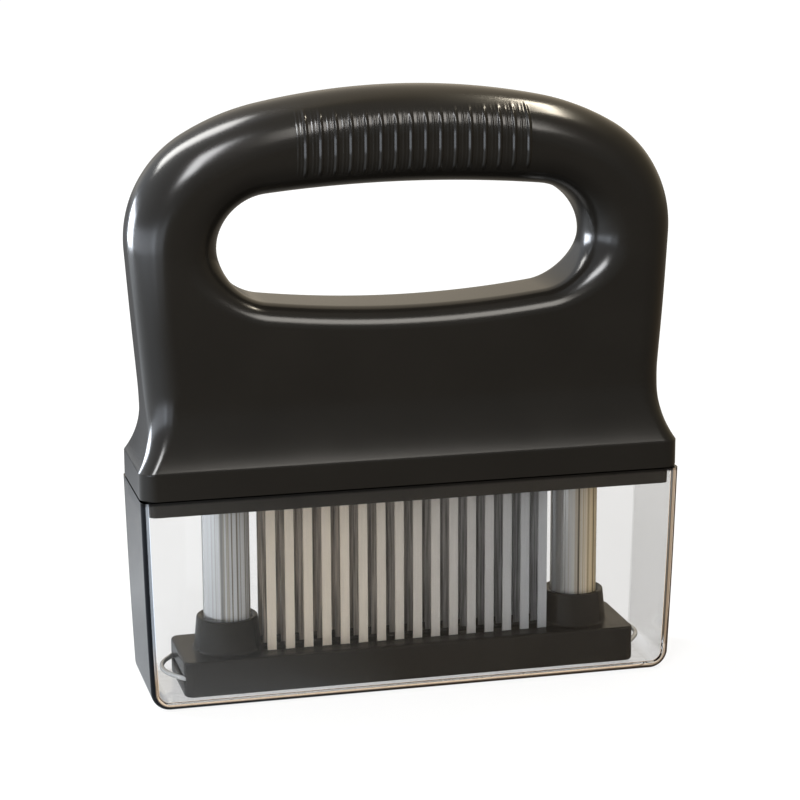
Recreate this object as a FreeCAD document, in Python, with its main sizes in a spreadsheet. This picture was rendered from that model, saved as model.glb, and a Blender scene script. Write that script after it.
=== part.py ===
import FreeCAD, Part
import math
import os

import Sketcher
from FreeCAD import Placement, Rotation, Vector

# Blade meat tenderizer: a D-shaped handle that carries three rows of blades, a spring-loaded
# guard plate that slides up two tubular posts into the handle, and a clear storage cover.
# X runs along the handle, Y to the back and Z up. The origin is the middle of the cover's underside.

SIZES = {
    # clear cover, an open box that narrows towards its floor
    "cover_length": 150.0,
    "cover_depth": 35.0,
    "cover_height": 58.5,
    "cover_taper_length": 2.8,
    "cover_taper_depth": 2.2,
    "cover_wall": 1.9,
    "cover_end_radius": 5.0,
    "cover_edge_radius": 2.2,
    # base plate: the spigot that fills the cover's mouth and carries blades and posts
    "spigot_height": 4.5,
    "spigot_inset": 2.45,
    "spigot_corner_radius": 2.0,
    "base_rise": 3.0,
    # handle: skirt, flare, slab with a round top bar, and the hand opening
    "overall_height": 165.0,
    "handle_thickness": 26.5,
    "handle_wall": 2.25,
    "skirt_height": 7.6,
    "skirt_corner_radius": 3.0,
    "flare_height_ends": 14.0,
    "flare_height_faces": 21.7,
    "crown_arc_angle": 11.6,
    "shoulder_arc_radius": 66.0,
    "shoulder_arc_angle": 18.8,
    "corner_arc_radius": 32.1,
    "side_slope_angle": 4.6,
    "side_round": 8.8,
    "crown_round": 12.4,
    "limb_width": 24.1,
    "web_height": 19.3,
    "bar_height": 25.6,
    "opening_top_radius": 376.0,
    "opening_bottom_radius": 300.0,
    "opening_round_low": 8.5,
    "opening_round_high": 10.5,
    "opening_round_run": 32.3,
    # ribs on the front and back of the top bar
    "rib_count": 16.0,
    "rib_pitch": 4.05,
    "rib_width": 2.2,
    "rib_rise": 0.55,
    "rib_shift": 1.3,
    "rib_above_opening": 3.1,
    "rib_below_top": 5.5,
    # guard plate with its two collars
    "guard_clearance": 0.3,
    "guard_end_room": 11.15,
    "guard_face_room": 4.6,
    "guard_height": 10.0,
    "guard_corner_radius": 2.6,
    "guard_edge_radius": 0.7,
    "collar_height": 9.0,
    "collar_foot_radius": 9.3,
    "collar_top_radius": 8.4,
    "collar_foot_round": 0.5,
    "collar_mouth": 0.8,
    "guard_stroke": 28.0,
    # posts, bushes, caps, springs
    "post_inset": 25.2,
    "post_diameter": 13.0,
    "post_wall": 0.8,
    "post_floor": 1.2,
    "fit_running": 0.05,
    "fit_press": 0.02,
    "fit_loose": 0.3,
    "bush_wall": 1.1,
    "bush_rise": 10.0,
    "cap_wall": 1.7,
    "cap_height": 4.5,
    "cap_lip": 1.0,
    "plug_height": 2.2,
    "spring_wire": 1.0,
    "spring_coil_count": 14.0,
    "rod_diameter": 5.5,
    "rod_head_height": 1.5,
    "rod_head_rim": 1.0,
    "stop_gap": 0.5,
    "seat_height": 14.0,
    # wire clips that lock the guard plate to the posts
    "clip_wire": 1.3,
    "clip_height": 5.0,
    "clip_bow_width": 23.4,
    "clip_bow_depth": 5.2,
    "clip_overrun": 1.45,
    "clip_bend": 1.8,
    "clip_bow_radius": 12.5,
    "clip_leg_inset": 0.325,
    "clip_knee_room": 1.7,
    # blades and what holds them
    "blade_column_count": 16.0,
    "blade_row_count": 3.0,
    "blade_row_spacing": 6.5,
    "blade_width": 2.5,
    "blade_thickness": 0.7,
    "blade_head_width": 3.6,
    "blade_head_height": 3.5,
    "blade_point": 4.0,
    "blade_tip_cover": 1.8,
    "blade_clearance": 0.3,
    "blade_play": 0.1,
    "holder_gap": 0.55,
    "holder_end": 1.175,
    "holder_side": 4.5,
    "holder_height": 9.0,
    "clamp_inset": 1.0,
    "clamp_thickness": 2.0,
    # screws
    "screw_shank": 2.9,
    "screw_head": 5.6,
    "screw_head_height": 2.0,
    "base_screw_length": 16.0,
    "base_screw_inset_x": 9.5,
    "base_screw_inset_y": 9.0,
    "screw_block_width": 18.0,
    "screw_block_depth": 13.5,
    "clamp_screw_length": 15.0,
    "shell_screw_length": 16.0,
    "bar_screw_inset": 10.2,
    "lower_screw_x": 25.75,
    "lower_screw_rise": 9.0,
    "boss_radius": 4.5,
    "recess_bridge": 1.4,
    "screw_play": 0.15,
    "cross_length": 3.4,
    "cross_width": 0.8,
    "cross_depth": 1.0,
}

doc = FreeCAD.newDocument("blade_tenderizer")
sheet = doc.addObject("Spreadsheet::Sheet", "sizes")
for row, (alias, number) in enumerate(SIZES.items(), start=1):
    sheet.set(f"A{row}", alias)
    sheet.set(f"B{row}", str(number))
    sheet.setAlias(f"B{row}", alias)
doc.recompute()

X_AXIS = Vector(1, 0, 0)
Y_AXIS = Vector(0, 1, 0)
Z_AXIS = Vector(0, 0, 1)
SIDES = (("left", -1), ("right", 1))
NODES = {}
FORM_PRECISION = 1e-6
FORM_TOLERANCE = 1e-3

# ------------------------------------------------------------------ heights, as sheet expressions
GUARD_BOTTOM = "(sizes.cover_wall + sizes.guard_clearance)"
GUARD_TOP = f"({GUARD_BOTTOM} + sizes.guard_height)"
COLLAR_TOP = f"({GUARD_TOP} + sizes.collar_height)"
CLIP_LEVEL = f"({GUARD_BOTTOM} + sizes.clip_height)"
SPIGOT_BOTTOM = "(sizes.cover_height - sizes.spigot_height)"
BASE_TOP = "(sizes.cover_height + sizes.base_rise)"
BUSH_TOP = f"({BASE_TOP} + sizes.bush_rise)"
CAP_BOTTOM = f"({BUSH_TOP} + sizes.fit_loose)"
CAP_TOP = f"({CAP_BOTTOM} + sizes.cap_height)"
SEAT_BOTTOM = f"({CAP_TOP} + sizes.guard_stroke + sizes.stop_gap)"
SEAT_ROOF = f"({SEAT_BOTTOM} + sizes.rod_head_height)"
POST_BOTTOM = f"({GUARD_BOTTOM} + sizes.post_floor)"
POST_TOP = f"({CAP_TOP} - sizes.cap_lip)"
PLUG_TOP = f"({POST_BOTTOM} + sizes.plug_height)"
HOLDER_TOP = f"({BASE_TOP} + sizes.holder_height)"
CLAMP_TOP = f"({HOLDER_TOP} + sizes.clamp_thickness)"
SKIRT_TOP = "(sizes.cover_height + sizes.skirt_height)"
SLAB_BOTTOM = f"({SKIRT_TOP} + sizes.flare_height_faces)"
OPENING_TOP = "(sizes.overall_height - sizes.bar_height)"
OPENING_BOTTOM = f"({SLAB_BOTTOM} + sizes.web_height)"
OPENING_WIDTH = "(sizes.cover_length - 2 * sizes.limb_width)"
GUARD_LENGTH = "(sizes.cover_length - 2 * sizes.guard_end_room)"
GUARD_DEPTH = "(sizes.cover_depth - 2 * sizes.guard_face_room)"
RIB_BOTTOM = f"({OPENING_TOP} + sizes.rib_above_opening)"
RIB_TOP = "(sizes.overall_height - sizes.rib_below_top)"
POST_X = "(sizes.cover_length / 2 - sizes.post_inset)"
POST_RADIUS = "(sizes.post_diameter / 2)"
BUSH_RADIUS = f"({POST_RADIUS} + sizes.fit_running + sizes.bush_wall)"
BORE_RADIUS = f"({POST_RADIUS} - sizes.post_wall)"
CLIP_LEG_Y = f"({POST_RADIUS} - sizes.clip_leg_inset)"
SCREW_HOLE = "(sizes.screw_shank / 2 + sizes.screw_play)"
SCREW_PILOT = "(sizes.screw_shank / 2 + sizes.fit_press)"
SCREW_RECESS = "(sizes.screw_head / 2 + sizes.fit_loose)"
BASE_SCREW_X = "(sizes.cover_length / 2 - sizes.base_screw_inset_x)"
BASE_SCREW_Y = "(sizes.cover_depth / 2 - sizes.base_screw_inset_y)"
HOLDER_LENGTH = f"(2 * ({POST_X} - {BUSH_RADIUS} - sizes.holder_gap))"
BLADE_SPAN = f"({HOLDER_LENGTH} - sizes.blade_head_width - 2 * sizes.holder_end)"
BLADE_PITCH = f"({BLADE_SPAN} / (sizes.blade_column_count - 1))"
ROW_SPAN = "((sizes.blade_row_count - 1) * sizes.blade_row_spacing)"
# a third of the span falls midway between two columns, half a row spacing midway between two rows
CLAMP_SCREW_X = f"({BLADE_SPAN} / 3)"
CLAMP_SCREW_Y = "(sizes.blade_row_spacing / 2)"
CLIP_LEG = f"({GUARD_LENGTH} / 2 - {POST_X} + {POST_RADIUS} + sizes.clip_overrun)"
HOLDER_DEPTH = f"({ROW_SPAN} + 2 * sizes.holder_side)"
SLOT_LENGTH = f"({BLADE_SPAN} + sizes.blade_width + 2 * sizes.blade_clearance)"
SLOT_WIDTH = "(sizes.blade_thickness + 2 * sizes.blade_clearance)"


def value(expression):
    """The number that a sheet expression stands for."""
    return float(sheet.evalExpression(expression.replace("sizes.", "")))


# ------------------------------------------------------------------ small builders
def new_body(name):
    """An empty PartDesign body."""
    return doc.addObject("PartDesign::Body", name)


def sketch_on(body, role, name, level="0"):
    """A sketch on one of the body's origin planes, raised by an expression along the plane's normal."""
    sketch = body.newObject("Sketcher::SketchObject", name)
    plane = next(f for f in body.Origin.OriginFeatures if f.Role == role)
    sketch.AttachmentSupport = [(plane, "")]
    sketch.MapMode = "FlatFace"
    sketch.setExpression("AttachmentOffset.Base.z", level)
    return sketch


def name_size(sketch, constraint, label, expression):
    """Adds a dimension to the sketch and binds it to the sheet."""
    index = sketch.addConstraint(constraint)
    sketch.renameConstraint(index, label)
    sketch.setExpression(f"Constraints.{label}", expression)


def rectangle(sketch, length, depth, x="0", y="0", tag=""):
    """A rectangle with its middle at x, y. All four arguments are sheet expressions."""
    half_x, half_y = value(length) / 2, value(depth) / 2
    mid_x, mid_y = value(x), value(y)
    corners = [Vector(mid_x + sx * half_x, mid_y + sy * half_y, 0)
               for sx, sy in ((-1, -1), (1, -1), (1, 1), (-1, 1))]
    first = sketch.GeometryCount
    for index, corner in enumerate(corners):
        sketch.addGeometry(Part.LineSegment(corner, corners[(index + 1) % 4]))
    for index in range(4):
        following = first + (index + 1) % 4
        sketch.addConstraint(Sketcher.Constraint("Coincident", first + index, 2, following, 1))
        kind = "Horizontal" if index % 2 == 0 else "Vertical"
        sketch.addConstraint(Sketcher.Constraint(kind, first + index))
    across = Sketcher.Constraint("DistanceX", first, 1, first, 2, 2 * half_x)
    name_size(sketch, across, f"length{tag}", length)
    along = Sketcher.Constraint("DistanceY", first + 1, 1, first + 1, 2, 2 * half_y)
    name_size(sketch, along, f"depth{tag}", depth)
    name_size(sketch, Sketcher.Constraint("DistanceX", -1, 1, first, 2, corners[1].x),
              f"x{tag}", f"({x}) + ({length}) / 2")
    name_size(sketch, Sketcher.Constraint("DistanceY", -1, 1, first + 1, 2, corners[2].y),
              f"y{tag}", f"({y}) + ({depth}) / 2")


def rounded_rectangle(sketch, length, depth, radius):
    """A centred rectangle with round corners, from sheet expressions."""
    half_x, half_y, r = value(length) / 2, value(depth) / 2, value(radius)
    centres = ((half_x - r, r - half_y, -90), (half_x - r, half_y - r, 0),
               (r - half_x, half_y - r, 90), (r - half_x, r - half_y, 180))
    arcs = []
    for cx, cy, start in centres:
        circle = Part.Circle(Vector(cx, cy, 0), Z_AXIS, r)
        arcs.append(Part.ArcOfCircle(circle, math.radians(start), math.radians(start + 90)))
    for index, arc in enumerate(arcs):
        sketch.addGeometry(arc)
        sketch.addGeometry(Part.LineSegment(arc.EndPoint, arcs[(index + 1) % 4].StartPoint))
    for index in range(8):
        sketch.addConstraint(Sketcher.Constraint("Tangent", index, 2, (index + 1) % 8, 1))
    sketch.addConstraint(Sketcher.Constraint("Vertical", 1))
    sketch.addConstraint(Sketcher.Constraint("Horizontal", 3))
    for index in (2, 4, 6):
        sketch.addConstraint(Sketcher.Constraint("Equal", 0, index))
    sketch.addConstraint(Sketcher.Constraint("Symmetric", 0, 3, 4, 3, -1, 1))
    name_size(sketch, Sketcher.Constraint("Radius", 0, r), "corner", radius)
    across = Sketcher.Constraint("DistanceX", -1, 1, 1, 1, half_x)
    name_size(sketch, across, "half_length", f"({length}) / 2")
    along = Sketcher.Constraint("DistanceY", -1, 1, 3, 1, half_y)
    name_size(sketch, along, "half_depth", f"({depth}) / 2")


def circle_at(sketch, radius, x, y, tag):
    """A circle whose radius and centre are sheet expressions."""
    index = sketch.addGeometry(Part.Circle(Vector(value(x), value(y), 0), Z_AXIS, value(radius)))
    name_size(sketch, Sketcher.Constraint("Radius", index, value(radius)), f"radius{tag}", radius)
    name_size(sketch, Sketcher.Constraint("DistanceX", -1, 1, index, 3, value(x)), f"x{tag}", x)
    name_size(sketch, Sketcher.Constraint("DistanceY", -1, 1, index, 3, value(y)), f"y{tag}", y)


def pad(body, sketch, length, midplane=False):
    """Pads a sketch along its normal, or to both sides of it."""
    feature = body.newObject("PartDesign::Pad", f"{sketch.Name}_pad")
    feature.Profile = sketch
    feature.Midplane = midplane
    feature.setExpression("Length", length)
    doc.recompute()
    return feature


def pocket(body, sketch, depth=None):
    """Cuts a sketch against its normal, or right through when no depth is given."""
    before = body.Shape.Volume
    feature = body.newObject("PartDesign::Pocket", f"{sketch.Name}_pocket")
    feature.Profile = sketch
    if depth is None:
        feature.Type = "ThroughAll"
        feature.Midplane = True
    else:
        feature.setExpression("Length", depth)
    doc.recompute()
    if body.Shape.Volume >= before:
        raise RuntimeError(f"{feature.Name} cuts nothing")
    return feature


def fillet(body, base, radius, test):
    """Rounds those edges of the body that pass the test."""
    feature = body.newObject("PartDesign::Fillet", f"{base.Name}_fillet")
    names = [f"Edge{i}" for i, edge in enumerate(base.Shape.Edges, start=1) if test(edge)]
    feature.Base = (base, names)
    feature.setExpression("Radius", radius)
    doc.recompute()
    return feature


def place(obj, x="0", y="0", z="0"):
    """Puts an object at x, y, z, each a sheet expression."""
    for axis, expression in (("x", x), ("y", y), ("z", z)):
        obj.setExpression(f"Placement.Base.{axis}", expression)
    return obj


def cylinder(name, radius, height, x="0", y="0", z="0", turn=None):
    """A cylinder from sheet expressions, upright unless it is turned."""
    obj = doc.addObject("Part::Cylinder", name)
    obj.setExpression("Radius", radius)
    obj.setExpression("Height", height)
    if turn is not None:
        obj.Placement = Placement(Vector(), turn)
    return place(obj, x, y, z)


def block(name, length, depth, height, x="0", y="0", z="0"):
    """A box from sheet expressions, with x and y at its middle and z at its underside."""
    obj = doc.addObject("Part::Box", name)
    obj.setExpression("Length", length)
    obj.setExpression("Width", depth)
    obj.setExpression("Height", height)
    return place(obj, f"{x} - ({length}) / 2", f"{y} - ({depth}) / 2", z)


def cut(name, base, tool):
    """The base without the tool."""
    obj = doc.addObject("Part::Cut", name)
    obj.Base = base
    obj.Tool = tool
    return obj


def fuse(name, pieces):
    """Several solids as one."""
    if len(pieces) == 1:
        return pieces[0]
    obj = doc.addObject("Part::MultiFuse", name)
    obj.Shapes = pieces
    return obj


def common(name, base, tool):
    """What two solids share."""
    obj = doc.addObject("Part::Common", name)
    obj.Base = base
    obj.Tool = tool
    return obj


def node(obj, name):
    """Labels an object as one piece of the product."""
    obj.Label = name
    NODES[name] = obj
    return obj


def group_of_copies(name, form, places):
    """Identical loose pieces in one node: copies of one form at several places."""
    doc.recompute()
    obj = doc.addObject("Part::Feature", name)
    obj.Shape = Part.makeCompound([form.Shape.transformed(p.Matrix, True) for p in places])
    return node(obj, name)


def round_edges(name, base, test, radius_at):
    """Rounds the edges that pass the test, with a radius that may change with height. A rounding whose
    face borders cross by less than the tolerance is mended."""
    edges = []
    for index, edge in enumerate(base.Shape.Edges, start=1):
        if test(edge):
            levels = [vertex.Point.z for vertex in edge.Vertexes]
            edges.append((index, radius_at(levels[0]), radius_at(levels[-1])))
    rounded = doc.addObject("Part::Fillet", name)
    rounded.Base = base
    rounded.Edges = edges
    doc.recompute()
    if rounded.Shape.isValid():
        return rounded
    mended = doc.addObject("Part::Feature", f"{name}_mended")
    form = rounded.Shape.copy()
    form.fix(FORM_PRECISION, FORM_PRECISION, FORM_TOLERANCE)
    mended.Shape = form
    return mended


# ------------------------------------------------------------------ clear cover
def make_clear_cover():
    """An open box with a taper, round lower corners and an even wall."""
    blank = doc.addObject("Part::Wedge", "cover_blank")
    blank.Placement = Placement(Vector(), Rotation(X_AXIS, 90))
    for low, high, size in (("Xmin", "Xmax", "length"), ("Zmin", "Zmax", "depth")):
        floor_half = f"(sizes.cover_{size} - sizes.cover_taper_{size}) / 2"
        blank.setExpression(low, f"-{floor_half}")
        blank.setExpression(high, floor_half)
        blank.setExpression(low.replace("min", "2min"), f"-sizes.cover_{size} / 2")
        blank.setExpression(high.replace("max", "2max"), f"sizes.cover_{size} / 2")
    blank.Ymin = 0
    blank.setExpression("Ymax", "sizes.cover_height")
    doc.recompute()

    def lower_end(edge):
        box = edge.BoundBox
        return box.ZMax < 1e-6 and box.XLength < 1e-6

    ends = round_edges("cover_ends", blank, lower_end, lambda level: value("sizes.cover_end_radius"))
    rim_level = value("sizes.cover_height") - 1e-3

    def front_or_back(edge):
        box = edge.BoundBox
        return box.ZMin < rim_level and box.YLength < value("sizes.cover_depth") / 2

    rounded = round_edges("cover_rounded", ends, front_or_back,
                          lambda level: value("sizes.cover_edge_radius"))
    faces = rounded.Shape.Faces
    rim_face = max(range(len(faces)), key=lambda index: faces[index].CenterOfMass.z)
    hollow = doc.addObject("Part::Thickness", "cover_hollow")
    hollow.Faces = (rounded, [f"Face{rim_face + 1}"])
    hollow.Join = "Intersection"
    hollow.setExpression("Value", "-sizes.cover_wall")
    doc.recompute()
    return node(hollow, "clear_cover")


# ------------------------------------------------------------------ handle
def handle_outline(inset):
    """Arcs and lines of the slab seen from the front, from the left foot over the top to the right
    foot and closed along the slab's underside. An inset moves every line inwards by that much."""
    crown_a = math.radians(value("sizes.crown_arc_angle"))
    shoulder_r, corner_r = value("sizes.shoulder_arc_radius"), value("sizes.corner_arc_radius")
    shoulder_a = crown_a + math.radians(value("sizes.shoulder_arc_angle"))
    slope = math.radians(value("sizes.side_slope_angle"))
    top, foot = value("sizes.overall_height"), value(SLAB_BOTTOM)
    corner_reach = corner_r * (1 - math.sin(shoulder_a))
    shoulder_reach = shoulder_r * (math.sin(shoulder_a) - math.sin(crown_a))
    crown_r = (value("sizes.cover_length") / 2 - corner_reach - shoulder_reach) / math.sin(crown_a)
    crown_c = Vector(0, top - crown_r, 0)
    shoulder_c = crown_c + Vector(math.sin(crown_a), math.cos(crown_a), 0) * (crown_r - shoulder_r)
    corner_c = shoulder_c + Vector(math.sin(shoulder_a), math.cos(shoulder_a), 0) * (shoulder_r - corner_r)

    def on_arc(centre, radius, angle):
        return centre + Vector(math.sin(angle), math.cos(angle), 0) * (radius - inset)

    def arc(centre, radius, start, end):
        return Part.Arc(on_arc(centre, radius, start), on_arc(centre, radius, (start + end) / 2),
                        on_arc(centre, radius, end))

    side_top = on_arc(corner_c, corner_r, math.pi / 2 + slope)
    side_foot = Vector(side_top.x - (side_top.y - foot) * math.tan(slope), foot, 0)
    right = [arc(crown_c, crown_r, 0, crown_a), arc(shoulder_c, shoulder_r, crown_a, shoulder_a),
             arc(corner_c, corner_r, shoulder_a, math.pi / 2 + slope)]

    def mirrored(angle_from, angle_to, centre, radius):
        flipped = Vector(-centre.x, centre.y, 0)
        return arc(flipped, radius, -angle_from, -angle_to)

    left = [mirrored(math.pi / 2 + slope, shoulder_a, corner_c, corner_r),
            mirrored(shoulder_a, crown_a, shoulder_c, shoulder_r),
            mirrored(crown_a, 0, crown_c, crown_r)]
    left_foot = Vector(-side_foot.x, foot, 0)
    left_top = Vector(-side_top.x, side_top.y, 0)
    return [Part.LineSegment(left_foot, left_top), *left, *right,
            Part.LineSegment(side_top, side_foot), Part.LineSegment(side_foot, left_foot)]


def opening_end_radius():
    """Radius of the round ends that meet the opening's top and bottom arcs smoothly, by bisection."""
    half = value(OPENING_WIDTH) / 2
    high, low = value(OPENING_TOP), value(OPENING_BOTTOM)
    top_r, bottom_r = value("sizes.opening_top_radius"), value("sizes.opening_bottom_radius")

    def levels(r):
        from_top = high - top_r + math.sqrt((top_r - r) ** 2 - (half - r) ** 2)
        from_bottom = low + bottom_r - math.sqrt((bottom_r - r) ** 2 - (half - r) ** 2)
        return from_top, from_bottom

    small, large = 0.0, (high - low) / 2
    for _ in range(60):
        middle = (small + large) / 2
        from_top, from_bottom = levels(middle)
        if from_top > from_bottom:
            small = middle
        else:
            large = middle
    return small, sum(levels(small)) / 2


def opening_outline(grow):
    """The hand opening: a gently arched top and bottom with round ends, grown outwards all round."""
    end_r, level = opening_end_radius()
    half = value(OPENING_WIDTH) / 2
    high, low = value(OPENING_TOP), value(OPENING_BOTTOM)
    centre = Vector(half - end_r, level, 0)
    top_c = Vector(0, high - value("sizes.opening_top_radius"), 0)
    bottom_c = Vector(0, low + value("sizes.opening_bottom_radius"), 0)
    reach = end_r + grow
    upper = centre + (centre - top_c).normalize() * reach
    lower = centre + (centre - bottom_c).normalize() * reach

    def mirror(point):
        return Vector(-point.x, point.y, 0)

    tip = Vector(half + grow, level, 0)
    return [Part.Arc(mirror(upper), Vector(0, high + grow, 0), upper), Part.Arc(upper, tip, lower),
            Part.Arc(lower, Vector(0, low - grow, 0), mirror(lower)),
            Part.Arc(mirror(lower), mirror(tip), mirror(upper))]


def closed_sketch(body, name, outline):
    """A sketch on the XZ plane with a closed outline of lines and arcs, joined end to end."""
    sketch = sketch_on(body, "XZ_Plane", name)
    for piece in outline:
        sketch.addGeometry(arc_of_circle(piece) if isinstance(piece, Part.Arc) else piece)
    return sketch


def arc_of_circle(arc):
    """The sketcher's own kind of arc, counter-clockwise about +Z, from an arc through three points."""
    edge = arc.toShape()
    circle = edge.Curve
    start, end = edge.valueAt(edge.FirstParameter), edge.valueAt(edge.LastParameter)
    if circle.Axis.z < 0:
        start, end = end, start
    first = math.atan2(start.y - circle.Center.y, start.x - circle.Center.x)
    last = math.atan2(end.y - circle.Center.y, end.x - circle.Center.x)
    if last < first:
        last += 2 * math.pi
    return Part.ArcOfCircle(Part.Circle(circle.Center, Z_AXIS, circle.Radius), first, last)


def round_at(level, low, high, low_round, high_round):
    """A rounding that grows smoothly with height."""
    share = min(max((level - low) / (high - low), 0), 1)
    share = share * share * (3 - 2 * share)
    return low_round + (high_round - low_round) * share


def make_slab(name, inset):
    """The upper handle: a padded outline with the opening cut out and every edge well rounded."""
    body = new_body(f"{name}_body")
    outline = closed_sketch(body, f"{name}_outline", handle_outline(inset))
    pad(body, outline, f"sizes.handle_thickness - 2 * {inset}", midplane=True)
    opening = closed_sketch(body, f"{name}_opening", opening_outline(inset))
    pocket(body, opening)
    slab_foot, slab_top = value(SLAB_BOTTOM), value("sizes.overall_height")
    high, low = value(OPENING_TOP), value(OPENING_BOTTOM)
    half = value("sizes.handle_thickness") / 2 - inset
    reach = value(OPENING_WIDTH) / 2 + inset + 1e-3

    def on_face(edge):
        box = edge.BoundBox
        return box.YLength < 1e-6 and abs(abs(box.YMin) - half) < 1e-6 and box.ZMax > slab_foot + 1e-6

    def of_opening(edge):
        box = edge.BoundBox
        return on_face(edge) and box.XMin > -reach and box.XMax < reach and box.ZMax < high + inset + 1e-3

    def opening_round(level):
        return round_at(level, low, low + value("sizes.opening_round_run"),
                        value("sizes.opening_round_low"), value("sizes.opening_round_high")) - inset

    def outer_round(level):
        return round_at(level, (slab_foot + low) / 2, (high + slab_top) / 2, value("sizes.side_round"),
                        value("sizes.crown_round")) - inset

    outer = round_edges(f"{name}_outline_rounded", body,
                        lambda edge: on_face(edge) and not of_opening(edge), outer_round)
    return round_edges(f"{name}_rounded", outer, of_opening, opening_round)


def flare_offset(level, height, width):
    """How far the flare stands out at a level above the skirt: an arc that ends upright."""
    radius = (height ** 2 + width ** 2) / (2 * width)
    rest = max(height - level, 0)
    return radius - math.sqrt(radius ** 2 - rest ** 2)


def make_flare(name, inset):
    """The skirt and the hollow curve that narrows it to the slab."""
    body = new_body(f"{name}_body")
    corner = f"sizes.skirt_corner_radius - {inset}"
    length, depth = f"sizes.cover_length - 2 * {inset}", f"sizes.cover_depth - 2 * {inset}"
    skirt_foot = "sizes.cover_height" if inset == 0 else f"sizes.cover_height - {inset}"
    skirt = sketch_on(body, "XY_Plane", f"{name}_skirt", skirt_foot)
    rounded_rectangle(skirt, length, depth, corner)
    pad(body, skirt, f"{SKIRT_TOP} - ({skirt_foot})")

    outline = handle_outline(0)
    slab_half = outline[-1].StartPoint.x
    slope = math.tan(math.radians(value("sizes.side_slope_angle")))
    rise_ends, rise_faces = value("sizes.flare_height_ends"), value("sizes.flare_height_faces")
    straight_half = slab_half - rise_faces * slope
    step_ends = value("sizes.cover_length") / 2 - straight_half
    step_faces = (value("sizes.cover_depth") - value("sizes.handle_thickness")) / 2
    steps = 7
    sections = []
    for step in range(steps + 1):
        rise = rise_faces * step / steps
        half_x = straight_half + rise * slope + flare_offset(rise, rise_ends, step_ends)
        half_y = value("sizes.handle_thickness") / 2 + flare_offset(rise, rise_faces, step_faces)
        radius = round_at(rise, 0, rise_faces,
                          value("sizes.skirt_corner_radius"), value("sizes.side_round"))
        section = sketch_on(body, "XY_Plane", f"{name}_section_{step}", f"{SKIRT_TOP} + {rise}")
        rounded_rectangle(section, f"{2 * (half_x - inset)}", f"{2 * (half_y - inset)}",
                          f"{radius - inset}")
        sections.append(section)
    loft = body.newObject("PartDesign::AdditiveLoft", f"{name}_loft")
    loft.Profile = sections[0]
    loft.Sections = sections[1:]
    loft.Ruled = False
    doc.recompute()
    return body


def make_ribs(slab_grown):
    """Bands cut from a slightly larger slab, side by side along the top bar."""
    count = int(value("sizes.rib_count"))
    bands = []
    for index in range(count):
        middle = f"sizes.rib_shift + ({index} - (sizes.rib_count - 1) / 2) * sizes.rib_pitch"
        bands.append(block(f"rib_band_{index}", "sizes.rib_width", "2 * sizes.handle_thickness",
                           f"{RIB_TOP} - {RIB_BOTTOM}", middle, "0", RIB_BOTTOM))
    return common("ribs", slab_grown, fuse("rib_bands", bands))


def shell_screw_places():
    """Where the two halves are screwed together: pairs of x and z expressions."""
    limb_x = "(sizes.cover_length - sizes.limb_width) / 2"
    bar_z = "(sizes.overall_height - sizes.bar_height / 2 - sizes.boss_radius)"
    lower_z = f"({SLAB_BOTTOM} + sizes.lower_screw_rise)"
    middle_z = f"(({OPENING_TOP} + {OPENING_BOTTOM}) / 2)"
    places = []
    for sign in (-1, 1):
        places.append((f"{sign} * sizes.lower_screw_x", lower_z))
        places.append((f"{sign} * {limb_x}", middle_z))
        places.append((f"{sign} * ({OPENING_WIDTH} / 2 - sizes.bar_screw_inset)", bar_z))
    return places


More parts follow.
